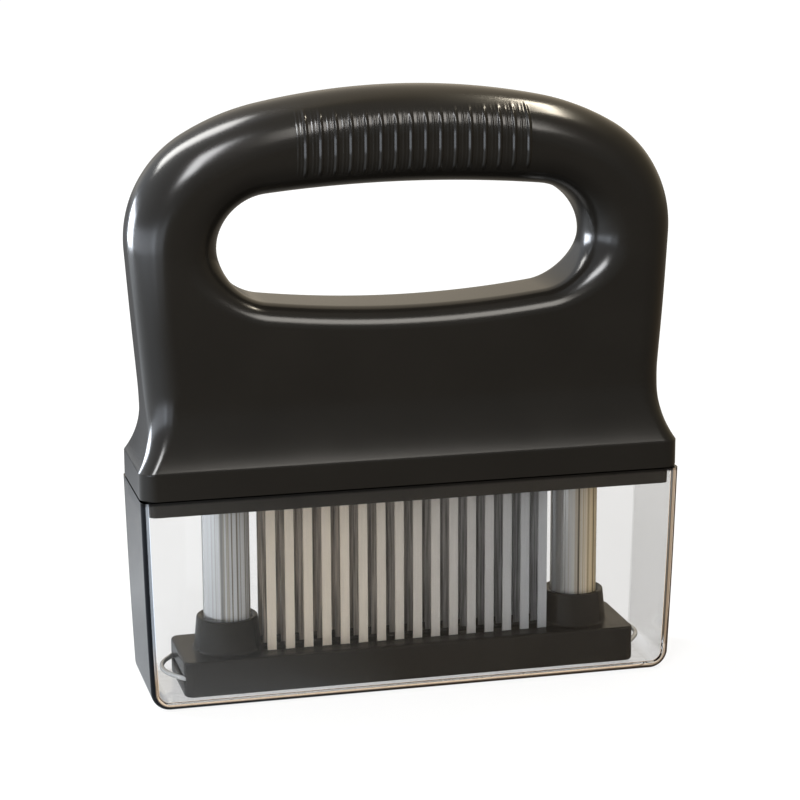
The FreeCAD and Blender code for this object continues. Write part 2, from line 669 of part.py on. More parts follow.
def make_handle():
    """Front and rear shells of the handle, with their bosses, spring seats and screw holes."""
    wall = value("sizes.handle_wall")
    form = fuse("handle_form", [make_slab("slab", 0.0), make_flare("flare", 0.0)])
    ribs = make_ribs(make_slab("slab_grown", -value("sizes.rib_rise")))
    core = fuse("handle_core", [make_slab("slab_core", wall), make_flare("flare_core", wall)])
    shell = cut("handle_shell", fuse("ribbed_form", [form, ribs]), core)

    into_y = Rotation(X_AXIS, -90)
    inner = []
    for side, sign in SIDES:
        inner.append(block(f"spring_seat_{side}", f"2 * ({BUSH_RADIUS} + sizes.rod_head_rim)",
                           "sizes.handle_thickness", "sizes.seat_height",
                           f"{sign} * {POST_X}", "0", SEAT_BOTTOM))
        for face, flip in (("front", -1), ("rear", 1)):
            block_x = f"({BASE_SCREW_X} - sizes.boss_radius + sizes.screw_block_width / 2)"
            block_y = f"({BASE_SCREW_Y} - sizes.boss_radius + sizes.screw_block_depth / 2)"
            inner.append(block(f"screw_block_{face}_{side}",
                               "sizes.screw_block_width", "sizes.screw_block_depth",
                               "sizes.base_screw_length - sizes.base_rise",
                               f"{sign} * {block_x}", f"{flip} * {block_y}", BASE_TOP))
    for index, (x, z) in enumerate(shell_screw_places()):
        inner.append(cylinder(f"shell_boss_{index}", "sizes.boss_radius", "sizes.handle_thickness",
                              x, "-sizes.handle_thickness / 2", z, into_y))
    shaped = common("inner_bosses", form, fuse("inner_forms", inner))
    filled = fuse("filled_shell", [shell, shaped])

    tools = []
    for side, sign in SIDES:
        tools.append(cylinder(f"rod_socket_{side}",
                              f"{BORE_RADIUS} + sizes.rod_head_rim + sizes.fit_press",
                              "sizes.rod_head_height", f"{sign} * {POST_X}", "0", SEAT_BOTTOM))
        for face, flip in (("front", -1), ("rear", 1)):
            tools.append(cylinder(f"base_pilot_{face}_{side}",
                                  SCREW_PILOT, "sizes.base_screw_length",
                                  f"{sign} * {BASE_SCREW_X}", f"{flip} * {BASE_SCREW_Y}",
                                  SPIGOT_BOTTOM))
    half_screw = "(sizes.shell_screw_length / 2)"
    for index, (x, z) in enumerate(shell_screw_places()):
        tools.append(cylinder(f"shell_hole_{index}", SCREW_HOLE, "sizes.handle_thickness",
                              x, "0", z, into_y))
        tools.append(cylinder(f"shell_recess_{index}", SCREW_RECESS, "sizes.handle_thickness",
                              x, f"{half_screw} - sizes.recess_bridge", z, into_y))
        tools.append(cylinder(f"shell_pilot_{index}", SCREW_PILOT,
                              f"{half_screw} + sizes.recess_bridge",
                              x, f"-{half_screw} - sizes.recess_bridge", z, into_y))
    bored = cut("bored_shell", filled, fuse("shell_tools", tools))

    span, rise = "2 * sizes.cover_length", "2 * sizes.overall_height"
    halves = {}
    for name, flip in (("handle_front_shell", -1), ("handle_rear_shell", 1)):
        half_space = block(f"{name}_space", span, "sizes.cover_depth", rise,
                           "0", f"{flip} * sizes.cover_depth / 2", "0")
        halves[name] = node(common(f"{name}_part", bored, half_space), name)
    doc.recompute()
    return halves


# ------------------------------------------------------------------ base plate and blade pack
def screw_circles(sketch, radius, x, y):
    """Four equal circles at plus and minus x and y."""
    for tag, (sx, sy) in enumerate(((-1, -1), (1, -1), (1, 1), (-1, 1))):
        circle_at(sketch, radius, f"{sx} * {x}", f"{sy} * {y}", str(tag))


def row_slots(sketch):
    """One long slot for each row of blades."""
    rows = int(value("sizes.blade_row_count"))
    for index in range(rows):
        middle = f"({index} - (sizes.blade_row_count - 1) / 2) * sizes.blade_row_spacing"
        rectangle(sketch, SLOT_LENGTH, SLOT_WIDTH, "0", middle, f"_{index}")


def make_base_plate():
    """The plate that closes the handle and fills the cover's mouth."""
    body = new_body("base_body")
    outline = sketch_on(body, "XY_Plane", "base_outline", SPIGOT_BOTTOM)
    rounded_rectangle(outline, "sizes.cover_length - 2 * sizes.spigot_inset",
                      "sizes.cover_depth - 2 * sizes.spigot_inset", "sizes.spigot_corner_radius")
    pad(body, outline, f"{BASE_TOP} - {SPIGOT_BOTTOM}")
    bores = sketch_on(body, "XY_Plane", "base_bores", BASE_TOP)
    for side, sign in SIDES:
        circle_at(bores, f"{BUSH_RADIUS} + sizes.fit_press", f"{sign} * {POST_X}", "0", side)
    pocket(body, bores)
    slots = sketch_on(body, "XY_Plane", "base_slots", BASE_TOP)
    row_slots(slots)
    pocket(body, slots)
    holes = sketch_on(body, "XY_Plane", "base_screw_holes", BASE_TOP)
    screw_circles(holes, SCREW_HOLE, BASE_SCREW_X, BASE_SCREW_Y)
    pocket(body, holes)
    recess = sketch_on(body, "XY_Plane", "base_recesses", f"{SPIGOT_BOTTOM} + sizes.screw_head_height")
    screw_circles(recess, SCREW_RECESS, BASE_SCREW_X, BASE_SCREW_Y)
    pocket(body, recess, "sizes.screw_head_height")
    pilots = sketch_on(body, "XY_Plane", "base_pilots", BASE_TOP)
    screw_circles(pilots, SCREW_PILOT, CLAMP_SCREW_X, CLAMP_SCREW_Y)
    last = pocket(body, pilots, f"{BASE_TOP} - {SPIGOT_BOTTOM} - sizes.recess_bridge")
    body.Tip = last
    return node(body, "base_plate")


def make_blade_holder():
    """The comb that spaces the blades: a slot for each shank and a pocket for each head."""
    body = new_body("holder_body")
    outline = sketch_on(body, "XY_Plane", "holder_outline", BASE_TOP)
    rectangle(outline, HOLDER_LENGTH, HOLDER_DEPTH)
    pad(body, outline, "sizes.holder_height")
    holes = sketch_on(body, "XY_Plane", "holder_holes", HOLDER_TOP)
    screw_circles(holes, SCREW_HOLE, CLAMP_SCREW_X, CLAMP_SCREW_Y)
    pocket(body, holes)
    first_x = f"-{BLADE_SPAN} / 2"
    first_y = f"-{ROW_SPAN} / 2"
    slot_depth = "sizes.blade_thickness + 2 * sizes.blade_play"
    shank = sketch_on(body, "XY_Plane", "holder_shank", HOLDER_TOP)
    rectangle(shank, "sizes.blade_width + 2 * sizes.blade_play", slot_depth, first_x, first_y)
    shank_cut = pocket(body, shank)
    head = sketch_on(body, "XY_Plane", "holder_head", HOLDER_TOP)
    rectangle(head, "sizes.blade_head_width + 2 * sizes.blade_play", slot_depth, first_x, first_y)
    head_cut = pocket(body, head, "sizes.blade_head_height + sizes.fit_loose")
    pattern = body.newObject("PartDesign::LinearPattern", "holder_pattern")
    pattern.Originals = [shank_cut, head_cut]
    axes = {f.Role: f for f in body.Origin.OriginFeatures}
    pattern.Direction = (axes["X_Axis"], [""])
    pattern.Direction2 = (axes["Y_Axis"], [""])
    pattern.setExpression("Length", BLADE_SPAN)
    pattern.setExpression("Occurrences", "sizes.blade_column_count")
    pattern.setExpression("Length2", ROW_SPAN)
    pattern.setExpression("Occurrences2", "sizes.blade_row_count")
    body.Tip = pattern
    doc.recompute()
    return node(body, "blade_holder")


def make_clamp_plate():
    """The steel strip that keeps the blade heads down."""
    plate = block("clamp_blank", f"{HOLDER_LENGTH} - 2 * sizes.clamp_inset",
                  f"{HOLDER_DEPTH} - 2 * sizes.clamp_inset", "sizes.clamp_thickness", "0", "0", HOLDER_TOP)
    holes = []
    for index, (sx, sy) in enumerate(((-1, -1), (1, -1), (1, 1), (-1, 1))):
        holes.append(cylinder(f"clamp_hole_{index}", SCREW_HOLE, "sizes.clamp_thickness",
                              f"{sx} * {CLAMP_SCREW_X}", f"{sy} * {CLAMP_SCREW_Y}", HOLDER_TOP))
    return node(cut("clamp_part", plate, fuse("clamp_holes", holes)), "blade_clamp_plate")


def make_blades():
    """Three rows of flat blades with a T-shaped head and a ground chisel point."""
    tip = value(f"{GUARD_BOTTOM} + sizes.blade_tip_cover")
    shoulder = value(f"{HOLDER_TOP} - sizes.blade_head_height - sizes.fit_loose")
    head = value(f"{HOLDER_TOP} - sizes.fit_loose")
    half, head_half = value("sizes.blade_width") / 2, value("sizes.blade_head_width") / 2
    point = value("sizes.blade_point")
    outline = [Vector(-half, tip + point, 0), Vector(half, tip, 0), Vector(half, shoulder, 0),
               Vector(head_half, shoulder, 0), Vector(head_half, head, 0), Vector(-head_half, head, 0),
               Vector(-head_half, shoulder, 0), Vector(-half, shoulder, 0)]
    body = new_body("blade_form")
    profile = sketch_on(body, "XZ_Plane", "blade_profile")
    for index, corner in enumerate(outline):
        profile.addGeometry(Part.LineSegment(corner, outline[(index + 1) % len(outline)]))
    for index in range(len(outline)):
        profile.addConstraint(Sketcher.Constraint("Coincident", index, 2, (index + 1) % len(outline), 1))
    pad(body, profile, "sizes.blade_thickness", midplane=True)
    columns = int(value("sizes.blade_column_count"))
    pitch, spacing = value(BLADE_PITCH), value("sizes.blade_row_spacing")
    for index, name in enumerate(("blade_row_front", "blade_row_middle", "blade_row_rear")):
        y = (index - 1) * spacing
        places = [Placement(Vector((column - (columns - 1) / 2) * pitch, y, 0), Rotation())
                  for column in range(columns)]
        group_of_copies(name, body, places)


# ------------------------------------------------------------------ guard plate, posts and springs
def rounded_path(corners, radii, level):
    """A level wire through the corners, each inner corner rounded with its own radius."""
    points = [Vector(x, y, level) for x, y in corners]
    edges = []
    start = points[0]
    for index, radius in enumerate(radii, start=1):
        corner = points[index]
        back = (points[index - 1] - corner).normalize()
        ahead = (points[index + 1] - corner).normalize()
        half_angle = back.getAngle(ahead) / 2
        enter = corner + back * (radius / math.tan(half_angle))
        leave = corner + ahead * (radius / math.tan(half_angle))
        middle_way = (back + ahead).normalize()
        middle = corner + middle_way * (radius / math.sin(half_angle) - radius)
        edges.append(Part.LineSegment(start, enter).toShape())
        edges.append(Part.Arc(enter, middle, leave).toShape())
        start = leave
    edges.append(Part.LineSegment(start, points[-1]).toShape())
    return Part.Wire(edges)


def clip_form(name, wire, sign):
    """A wire bent to two straight legs and a wide bow, with its legs running inwards along X."""
    level = value(CLIP_LEVEL)
    end_face = value(GUARD_LENGTH) / 2
    leg_y = value(CLIP_LEG_Y)
    leg_end = end_face - value(CLIP_LEG)
    bend = value("sizes.clip_bend")
    wide, neck = value("sizes.clip_bow_width") / 2, end_face - value("sizes.clip_wire")
    tip = end_face + value("sizes.clip_bow_depth")
    knee = neck - (wide - leg_y)
    upper = [(leg_end, leg_y), (knee, leg_y), (neck, wide)]
    corners = upper + [(tip + bend, 0)] + [(x, -y) for x, y in reversed(upper)]
    corners = [(sign * x, y) for x, y in corners]
    path = rounded_path(corners, (bend, bend, value("sizes.clip_bow_radius"), bend, bend), level)
    start = Vector(sign * leg_end, leg_y, level)
    section = Part.Wire(Part.Circle(start, X_AXIS, wire / 2).toShape())
    obj = doc.addObject("Part::Feature", name)
    obj.Shape = path.makePipeShell([section], True, False)
    return obj


def make_clips():
    """The two wire clips, and the recesses that take them in the guard plate's ends."""
    recesses = []
    for side, sign in SIDES:
        node(clip_form(f"clip_{side}", value("sizes.clip_wire"), sign), f"retaining_clip_{side}")
        room = "(sizes.clip_wire + sizes.fit_loose)"
        pocket_length = f"(sizes.clip_bow_width / 2 - {CLIP_LEG_Y} + sizes.clip_knee_room)"
        pieces = [block(f"clip_pocket_{side}", pocket_length, "sizes.clip_bow_width", room,
                        f"{sign} * ({GUARD_LENGTH} / 2 - {pocket_length} / 2)", "0",
                        f"{CLIP_LEVEL} - {room} / 2")]
        for face, flip in (("front", -1), ("rear", 1)):
            leg_length = f"({CLIP_LEG} + sizes.fit_loose)"
            pieces.append(block(f"clip_channel_{face}_{side}", leg_length, room, room,
                                f"{sign} * ({GUARD_LENGTH} / 2 - {leg_length} / 2)",
                                f"{flip} * {CLIP_LEG_Y}", f"{CLIP_LEVEL} - {room} / 2"))
        recesses.append(fuse(f"clip_recess_{side}", pieces))
    return recesses


def make_guard_plate(recesses):
    """The plate that presses on the food, with collars for the posts and slots for the blades."""
    body = new_body("guard_body")
    outline = sketch_on(body, "XY_Plane", "guard_outline", GUARD_BOTTOM)
    rounded_rectangle(outline, GUARD_LENGTH, GUARD_DEPTH, "sizes.guard_corner_radius")
    slab = pad(body, outline, "sizes.guard_height")

    def level_rim(edge):
        return edge.BoundBox.ZLength < 1e-6

    slab = fillet(body, slab, "sizes.guard_edge_radius", level_rim)
    for side, sign in SIDES:
        collar = body.newObject("PartDesign::AdditiveCone", f"collar_{side}")
        plane = next(f for f in body.Origin.OriginFeatures if f.Role == "XY_Plane")
        collar.AttachmentSupport = [(plane, "")]
        collar.MapMode = "FlatFace"
        collar.setExpression("AttachmentOffset.Base.x", f"{sign} * {POST_X}")
        collar.setExpression("AttachmentOffset.Base.z", GUARD_TOP)
        collar.setExpression("Radius1", "sizes.collar_foot_radius")
        collar.setExpression("Radius2", "sizes.collar_top_radius")
        collar.setExpression("Height", "sizes.collar_height")
        doc.recompute()
    foot_r, foot_z = value("sizes.collar_foot_radius"), value(GUARD_TOP)

    def collar_foot(edge):
        if not isinstance(edge.Curve, Part.Circle):
            return False
        return abs(edge.Curve.Radius - foot_r) < 1e-3 and abs(edge.BoundBox.ZMin - foot_z) < 1e-3

    last = fillet(body, collar, "sizes.collar_foot_round", collar_foot)
    bores = sketch_on(body, "XY_Plane", "guard_bores", COLLAR_TOP)
    for side, sign in SIDES:
        circle_at(bores, f"{POST_RADIUS} + sizes.fit_running", f"{sign} * {POST_X}", "0", side)
    last = pocket(body, bores, f"{COLLAR_TOP} - {POST_BOTTOM}")
    bore_r, mouth_z = value(f"{POST_RADIUS} + sizes.fit_running"), value(COLLAR_TOP)

    def mouth(edge):
        if not isinstance(edge.Curve, Part.Circle):
            return False
        return abs(edge.Curve.Radius - bore_r) < 1e-3 and abs(edge.BoundBox.ZMin - mouth_z) < 1e-3

    bevel = body.newObject("PartDesign::Chamfer", "collar_mouths")
    bevel.Base = (last, [f"Edge{i}" for i, e in enumerate(last.Shape.Edges, start=1) if mouth(e)])
    bevel.setExpression("Size", "sizes.collar_mouth")
    doc.recompute()
    slots = sketch_on(body, "XY_Plane", "guard_slots", GUARD_TOP)
    row_slots(slots)
    last = pocket(body, slots)
    body.Tip = last
    return node(cut("guard_part", body, fuse("clip_recesses", recesses)), "guard_plate")


def make_post(side, sign, recess):
    """One tubular post with its plug, cap, bush, spring and spring rod."""
    x = f"{sign} * {POST_X}"
    length = f"{POST_TOP} - {POST_BOTTOM}"
    outer = cylinder(f"post_outer_{side}", POST_RADIUS, length, x, "0", POST_BOTTOM)
    inner = cylinder(f"post_inner_{side}", BORE_RADIUS, length, x, "0", POST_BOTTOM)
    tube = cut(f"post_tube_{side}", outer, inner)
    node(cut(f"post_part_{side}", tube, recess), f"guide_post_{side}")
    node(cylinder(f"plug_{side}", f"{BORE_RADIUS} - sizes.fit_press", "sizes.plug_height",
                  x, "0", POST_BOTTOM), f"post_plug_{side}")

    cap = cylinder(f"cap_outer_{side}", f"{POST_RADIUS} + sizes.cap_wall", "sizes.cap_height",
                   x, "0", CAP_BOTTOM)
    socket = cylinder(f"cap_socket_{side}", f"{POST_RADIUS} + sizes.fit_press",
                      "sizes.cap_height - sizes.cap_lip", x, "0", CAP_BOTTOM)
    mouth = cylinder(f"cap_mouth_{side}", BORE_RADIUS, "sizes.cap_height", x, "0", CAP_BOTTOM)
    node(cut(f"cap_part_{side}", cap, fuse(f"cap_hollow_{side}", [socket, mouth])), f"post_cap_{side}")

    bush_height = f"{BUSH_TOP} - {SPIGOT_BOTTOM}"
    bush = cylinder(f"bush_outer_{side}", BUSH_RADIUS, bush_height, x, "0", SPIGOT_BOTTOM)
    bore = cylinder(f"bush_bore_{side}", f"{POST_RADIUS} + sizes.fit_running", bush_height,
                    x, "0", SPIGOT_BOTTOM)
    node(cut(f"bush_part_{side}", bush, bore), f"guide_bush_{side}")

    rod_foot = f"({PLUG_TOP} + sizes.guard_stroke + sizes.rod_head_height)"
    rod = cylinder(f"rod_shank_{side}", "sizes.rod_diameter / 2", f"{SEAT_ROOF} - {rod_foot}",
                   x, "0", rod_foot)
    head = cylinder(f"rod_head_{side}", f"{BORE_RADIUS} + sizes.rod_head_rim", "sizes.rod_head_height",
                    x, "0", SEAT_BOTTOM)
    node(fuse(f"rod_part_{side}", [rod, head]), f"spring_rod_{side}")

    wire = value("sizes.spring_wire") / 2
    coil_radius = f"{BORE_RADIUS} - sizes.fit_loose - sizes.spring_wire / 2"
    spring_foot, spring_top = value(PLUG_TOP) + wire, value(SEAT_BOTTOM) - wire
    turns = value("sizes.spring_coil_count")
    pitch = (spring_top - spring_foot) / turns
    helix = Part.makeHelix(pitch, spring_top - spring_foot, value(coil_radius))
    start = Vector(value(coil_radius), 0, 0)
    section = Part.Wire(Part.Circle(start, Y_AXIS, wire).toShape())
    coil = Part.Wire(helix.Edges).makePipeShell([section], True, True)
    spring = doc.addObject("Part::Feature", f"coil_{side}")
    spring.Shape = coil
    spring.Placement = Placement(Vector(value(x), 0, spring_foot), Rotation())
    node(spring, f"spring_{side}")


# ------------------------------------------------------------------ screws
def screw_form(name, length):
    """A pan-head screw, point down, with its head's underside at the origin."""
    shank = cylinder(f"{name}_shank", "sizes.screw_shank / 2", length, "0", "0", f"-({length})")
    head = cylinder(f"{name}_head", "sizes.screw_head / 2", "sizes.screw_head_height", "0", "0", "0")
    floor = "sizes.screw_head_height - sizes.cross_depth"
    cross = [block(f"{name}_cross_x", "sizes.cross_length", "sizes.cross_width", "sizes.cross_depth",
                   "0", "0", floor),
             block(f"{name}_cross_y", "sizes.cross_width", "sizes.cross_length", "sizes.cross_depth",
                   "0", "0", floor)]
    return cut(f"{name}_form", fuse(f"{name}_blank", [shank, head]), fuse(f"{name}_cross", cross))


def make_screws():
    """The three sets of screws, each set one node."""
    base_form = screw_form("base_screw", "sizes.base_screw_length - sizes.screw_head_height")
    level = value(f"{SPIGOT_BOTTOM} + sizes.screw_head_height")
    x, y = value(BASE_SCREW_X), value(BASE_SCREW_Y)
    corners = ((-1, -1), (1, -1), (1, 1), (-1, 1))
    group_of_copies("base_screws", base_form,
                    [Placement(Vector(sx * x, sy * y, level), Rotation(X_AXIS, 180)) for sx, sy in corners])
    clamp_form = screw_form("clamp_screw", "sizes.clamp_screw_length")
    x, y = value(CLAMP_SCREW_X), value(CLAMP_SCREW_Y)
    group_of_copies("clamp_screws", clamp_form,
                    [Placement(Vector(sx * x, sy * y, value(CLAMP_TOP)), Rotation()) for sx, sy in corners])
    shell_form = screw_form("shell_screw", "sizes.shell_screw_length")
    reach = value("sizes.shell_screw_length / 2 - sizes.recess_bridge")
    group_of_copies("shell_screws", shell_form,
                    [Placement(Vector(value(sx), reach, value(sz)), Rotation(X_AXIS, -90))
                     for sx, sz in shell_screw_places()])


def check_and_export():
    """Stops on any failed object, then writes one STEP file for each node."""
    doc.recompute()
    for obj in doc.Objects:
        if "Invalid" in obj.State or "Error" in obj.State:
            raise RuntimeError(f"{obj.Name} ({obj.Label}) failed: {obj.State}")
    os.makedirs("parts", exist_ok=True)
    for name, obj in sorted(NODES.items()):
        shape = obj.Shape
        if shape.isNull() or not shape.isValid() or not shape.Solids:
            raise RuntimeError(f"{name} has no valid solid")
        shape.exportStep(f"parts/{name}.step")
        box = shape.BoundBox
        print(f"{name}: {len(shape.Solids)} solid(s), {shape.Volume:.1f} mm3, "
              f"x {box.XMin:.2f}..{box.XMax:.2f} y {box.YMin:.2f}..{box.YMax:.2f} "
              f"z {box.ZMin:.2f}..{box.ZMax:.2f}")


make_clear_cover()
make_handle()
make_base_plate()
make_blade_holder()
make_clamp_plate()
make_blades()
clip_recesses = make_clips()
make_guard_plate(clip_recesses)
for post_side, post_sign in SIDES:
    make_post(post_side, post_sign, clip_recesses[0 if post_sign < 0 else 1])
make_screws()
check_and_export()
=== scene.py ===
"""Blade meat tenderizer: a D-shaped handle over rows of blades, a sprung guard plate and a clear cover."""

import logging
import math
from collections.abc import Callable, Sequence
from dataclasses import dataclass
from enum import Enum

import bmesh
import bpy
from mathutils import Matrix, Vector

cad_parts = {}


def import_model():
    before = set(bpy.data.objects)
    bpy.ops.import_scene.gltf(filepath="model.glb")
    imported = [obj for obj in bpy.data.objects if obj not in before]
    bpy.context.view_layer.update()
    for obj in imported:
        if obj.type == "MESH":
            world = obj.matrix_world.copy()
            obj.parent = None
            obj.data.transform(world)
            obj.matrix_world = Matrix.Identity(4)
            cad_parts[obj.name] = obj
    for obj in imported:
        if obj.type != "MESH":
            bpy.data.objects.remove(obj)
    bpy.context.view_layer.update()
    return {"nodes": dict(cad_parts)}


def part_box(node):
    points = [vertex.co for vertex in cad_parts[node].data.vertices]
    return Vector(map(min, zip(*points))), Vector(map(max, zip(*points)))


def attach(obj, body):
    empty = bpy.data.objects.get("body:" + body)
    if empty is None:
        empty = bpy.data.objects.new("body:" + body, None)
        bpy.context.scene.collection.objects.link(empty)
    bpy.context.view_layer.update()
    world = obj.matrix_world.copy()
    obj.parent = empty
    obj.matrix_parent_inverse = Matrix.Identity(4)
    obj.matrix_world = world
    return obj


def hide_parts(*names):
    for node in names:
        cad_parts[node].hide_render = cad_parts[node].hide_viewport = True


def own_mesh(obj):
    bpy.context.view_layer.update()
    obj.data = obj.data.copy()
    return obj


# A millimetre in metres, and the distance in millimetres below which two places count as one.
MM = 0.001
FLUSH = 1e-3
BLACK, WHITE = "#000000", "#ffffff"
LOG = logging.getLogger("tenderizer")


class Side(Enum):
    """Sides of the tool, whose values turn a place on the right into its twin on that side."""

    LEFT = -1
    RIGHT = 1

    def __str__(self) -> str:
        """Word that names of pieces on this side end with."""
        return self.name.lower()


# ---------------------------------------------------------------- colours and nodes
def srgb(code: str) -> tuple[float, float, float, float]:
    """Turns an sRGB hex colour into linear light.

    Args:
        code: Colour as "#rrggbb".

    Returns:
        Linear red, green and blue, and full opacity.
    """
    parts = [int(code[place:place + 2], 16) / 255 for place in (1, 3, 5)]
    linear = [part / 12.92 if part <= 0.04045 else ((part + 0.055) / 1.055) ** 2.4 for part in parts]
    return linear[0], linear[1], linear[2], 1.0


class Graph:
    """The node tree of a material or a world, with a short way to add and join nodes."""

    def __init__(self, owner: bpy.types.Material | bpy.types.World) -> None:
        """Starts with an empty tree.

        Args:
            owner: Material or world that gets the nodes.
        """
        self.owner = owner
        owner.use_nodes = True
        self.tree = owner.node_tree
        self.tree.nodes.clear()

    @classmethod
    def of_material(cls, name: str) -> "Graph":
        """Starts a new material with an empty graph."""
        return cls(bpy.data.materials.new(name))

    def add(self, kind: str, inputs: dict | None = None, stops: Sequence[tuple[float, tuple]] = (),
            **settings) -> bpy.types.Node:
        """Adds one node with its settings and links.

        Args:
            kind: Node type, without its "ShaderNode" prefix.
            inputs: Socket name or number to a constant, to another node's output, or to a node,
                which stands for its first output in use.
            stops: Positions and colours of a colour ramp, from low to high.
            settings: Plain properties of the node.

        Returns:
            The new node.
        """
        node = self.tree.nodes.new(f"ShaderNode{kind}")
        for name, content in settings.items():
            setattr(node, name, content)
        elements = node.color_ramp.elements if stops else []
        while len(elements) < len(stops):
            elements.new(0.5)
        for element, (position, colour) in zip(elements, stops):
            element.position = position
            element.color = colour
        for name, content in (inputs or {}).items():
            if isinstance(content, bpy.types.Node):
                content = next(output for output in content.outputs if output.enabled)
            if isinstance(content, bpy.types.NodeSocket):
                self.tree.links.new(content, node.inputs[name])
            else:
                node.inputs[name].default_value = content
        return node

    def grain(self, size_mm: float, stretch: Sequence[float] = (1, 1, 1),
              detail: float = 2.0) -> bpy.types.Node:
        """Adds noise of a real size, fixed to the object.

        Args:
            size_mm: Rough size of one blotch.
            stretch: Frequency factor along each axis.
            detail: Octaves of the noise.

        Returns:
            The noise.
        """
        place = self.add("TexCoord").outputs["Object"]
        scale = tuple(part / (size_mm * MM) for part in stretch)
        sized = self.add("Mapping", {"Vector": place, "Scale": scale})
        return self.add("TexNoise", {"Vector": sized, "Scale": 1.0, "Detail": detail})

    def zone(self, place: bpy.types.NodeSocket | bpy.types.Node, ends_mm: tuple[float, float],
             levels: tuple[float, float] = (0.0, 1.0)) -> bpy.types.Node:
        """Fades between two levels across a zone of real size.

        Args:
            place: Place along one axis, or a distance.
            ends_mm: Where the zone starts and ends.
            levels: Level before and after it.

        Returns:
            The level.
        """
        start, end = (edge * MM for edge in ends_mm)
        return self.add("MapRange", {"Value": place, "From Min": start, "From Max": end,
                                     "To Min": levels[0], "To Max": levels[1]})

    def finish(self, inputs: dict) -> bpy.types.Material:
        """Adds the surface shader and the output.

        Args:
            inputs: Socket name to a constant, a node or another node's output.

        Returns:
            The finished material.
        """
        shader = self.add("BsdfPrincipled", inputs)
        self.add("OutputMaterial", {"Surface": shader})
        return self.owner

    def background(self, vector: bpy.types.NodeSocket, tones: Sequence[tuple[float, str]],
                   direct: bpy.types.Node | tuple) -> tuple[bpy.types.Node, ...]:
        """Light of the background, which is duller where a surface mirrors it.

        Args:
            vector: Place on the floor or direction in the air.
            tones: Mirrored tone by azimuth in degrees, 0 in front and negative to the left.
            direct: Its colour seen directly or through clear plastic.

        Returns:
            1 for rays from the camera, through clear plastic and off gloss, else 0; the colour for them;
            and 1 where the path has met gloss.
        """
        path = self.add("LightPath").outputs
        straight = self.add("Math", {0: path["Is Camera Ray"], 1: path["Is Transmission Ray"]},
                            operation="MAXIMUM")
        seen = self.add("Math", {0: straight, 1: path["Is Glossy Ray"]}, operation="MAXIMUM")
        axes = self.add("SeparateXYZ", {"Vector": vector}).outputs
        forwards = self.add("Math", {0: axes["Y"], 1: -1.0}, operation="MULTIPLY")
        turn = self.add("Math", {0: axes["X"], 1: forwards}, operation="ARCTAN2")
        turns = self.add("Math", {0: turn, 1: math.tau}, operation="DIVIDE")
        share = self.add("Math", {0: turns, 1: 0.5}, operation="ADD")
        stops = [(azimuth / 360 + 0.5, srgb(tone)) for azimuth, tone in tones]
        around = self.add("ValToRGB", {"Fac": share}, stops)
        met_gloss = self.add("Math", {0: path["Glossy Depth"], 1: 1.0}, operation="MINIMUM")
        colour = self.add("Mix", {0: met_gloss, 6: direct, 7: around}, data_type="RGBA")
        return seen, colour, met_gloss


# ---------------------------------------------------------------- finishes
@dataclass(frozen=True)
class MouldedPlastic:
    """Injection-moulded plastic with a fine spark-eroded grain and a little handling polish."""

    name: str
    colour: str
    roughness: float
    grain_mm: float = 0.35
    grain_depth_mm: float = 0.0012
    grain_strength: float = 0.35
    specular: float = 0.5
    ior: float = 1.5
    blotch_mm: float = 18.0
    blotch_lift: float = 1.18
    polish_spread: tuple[float, float] = (-0.025, 0.03)

    def material(self) -> bpy.types.Material:
        """Builds the material.

        Returns:
            A material named after the process.
        """
        graph = Graph.of_material(self.name)
        blotch = graph.grain(self.blotch_mm)
        fine = graph.grain(self.grain_mm)
        base = srgb(self.colour)
        lighter = tuple(min(part * self.blotch_lift, 1.0) for part in base[:3]) + (1.0,)
        colour = graph.add("ValToRGB", {"Fac": blotch}, ((0.3, base), (0.75, lighter)))
        smooth, worn = (self.roughness + part for part in self.polish_spread)
        rough = graph.add("MapRange", {"Value": blotch, "To Min": smooth, "To Max": worn})
        normal = graph.add("Bump", {"Height": fine, "Distance": self.grain_depth_mm * MM,
                                    "Strength": self.grain_strength})
        return graph.finish({"Base Color": colour, "Roughness": rough, "Normal": normal,
                             "Specular IOR Level": self.specular, "IOR": self.ior})


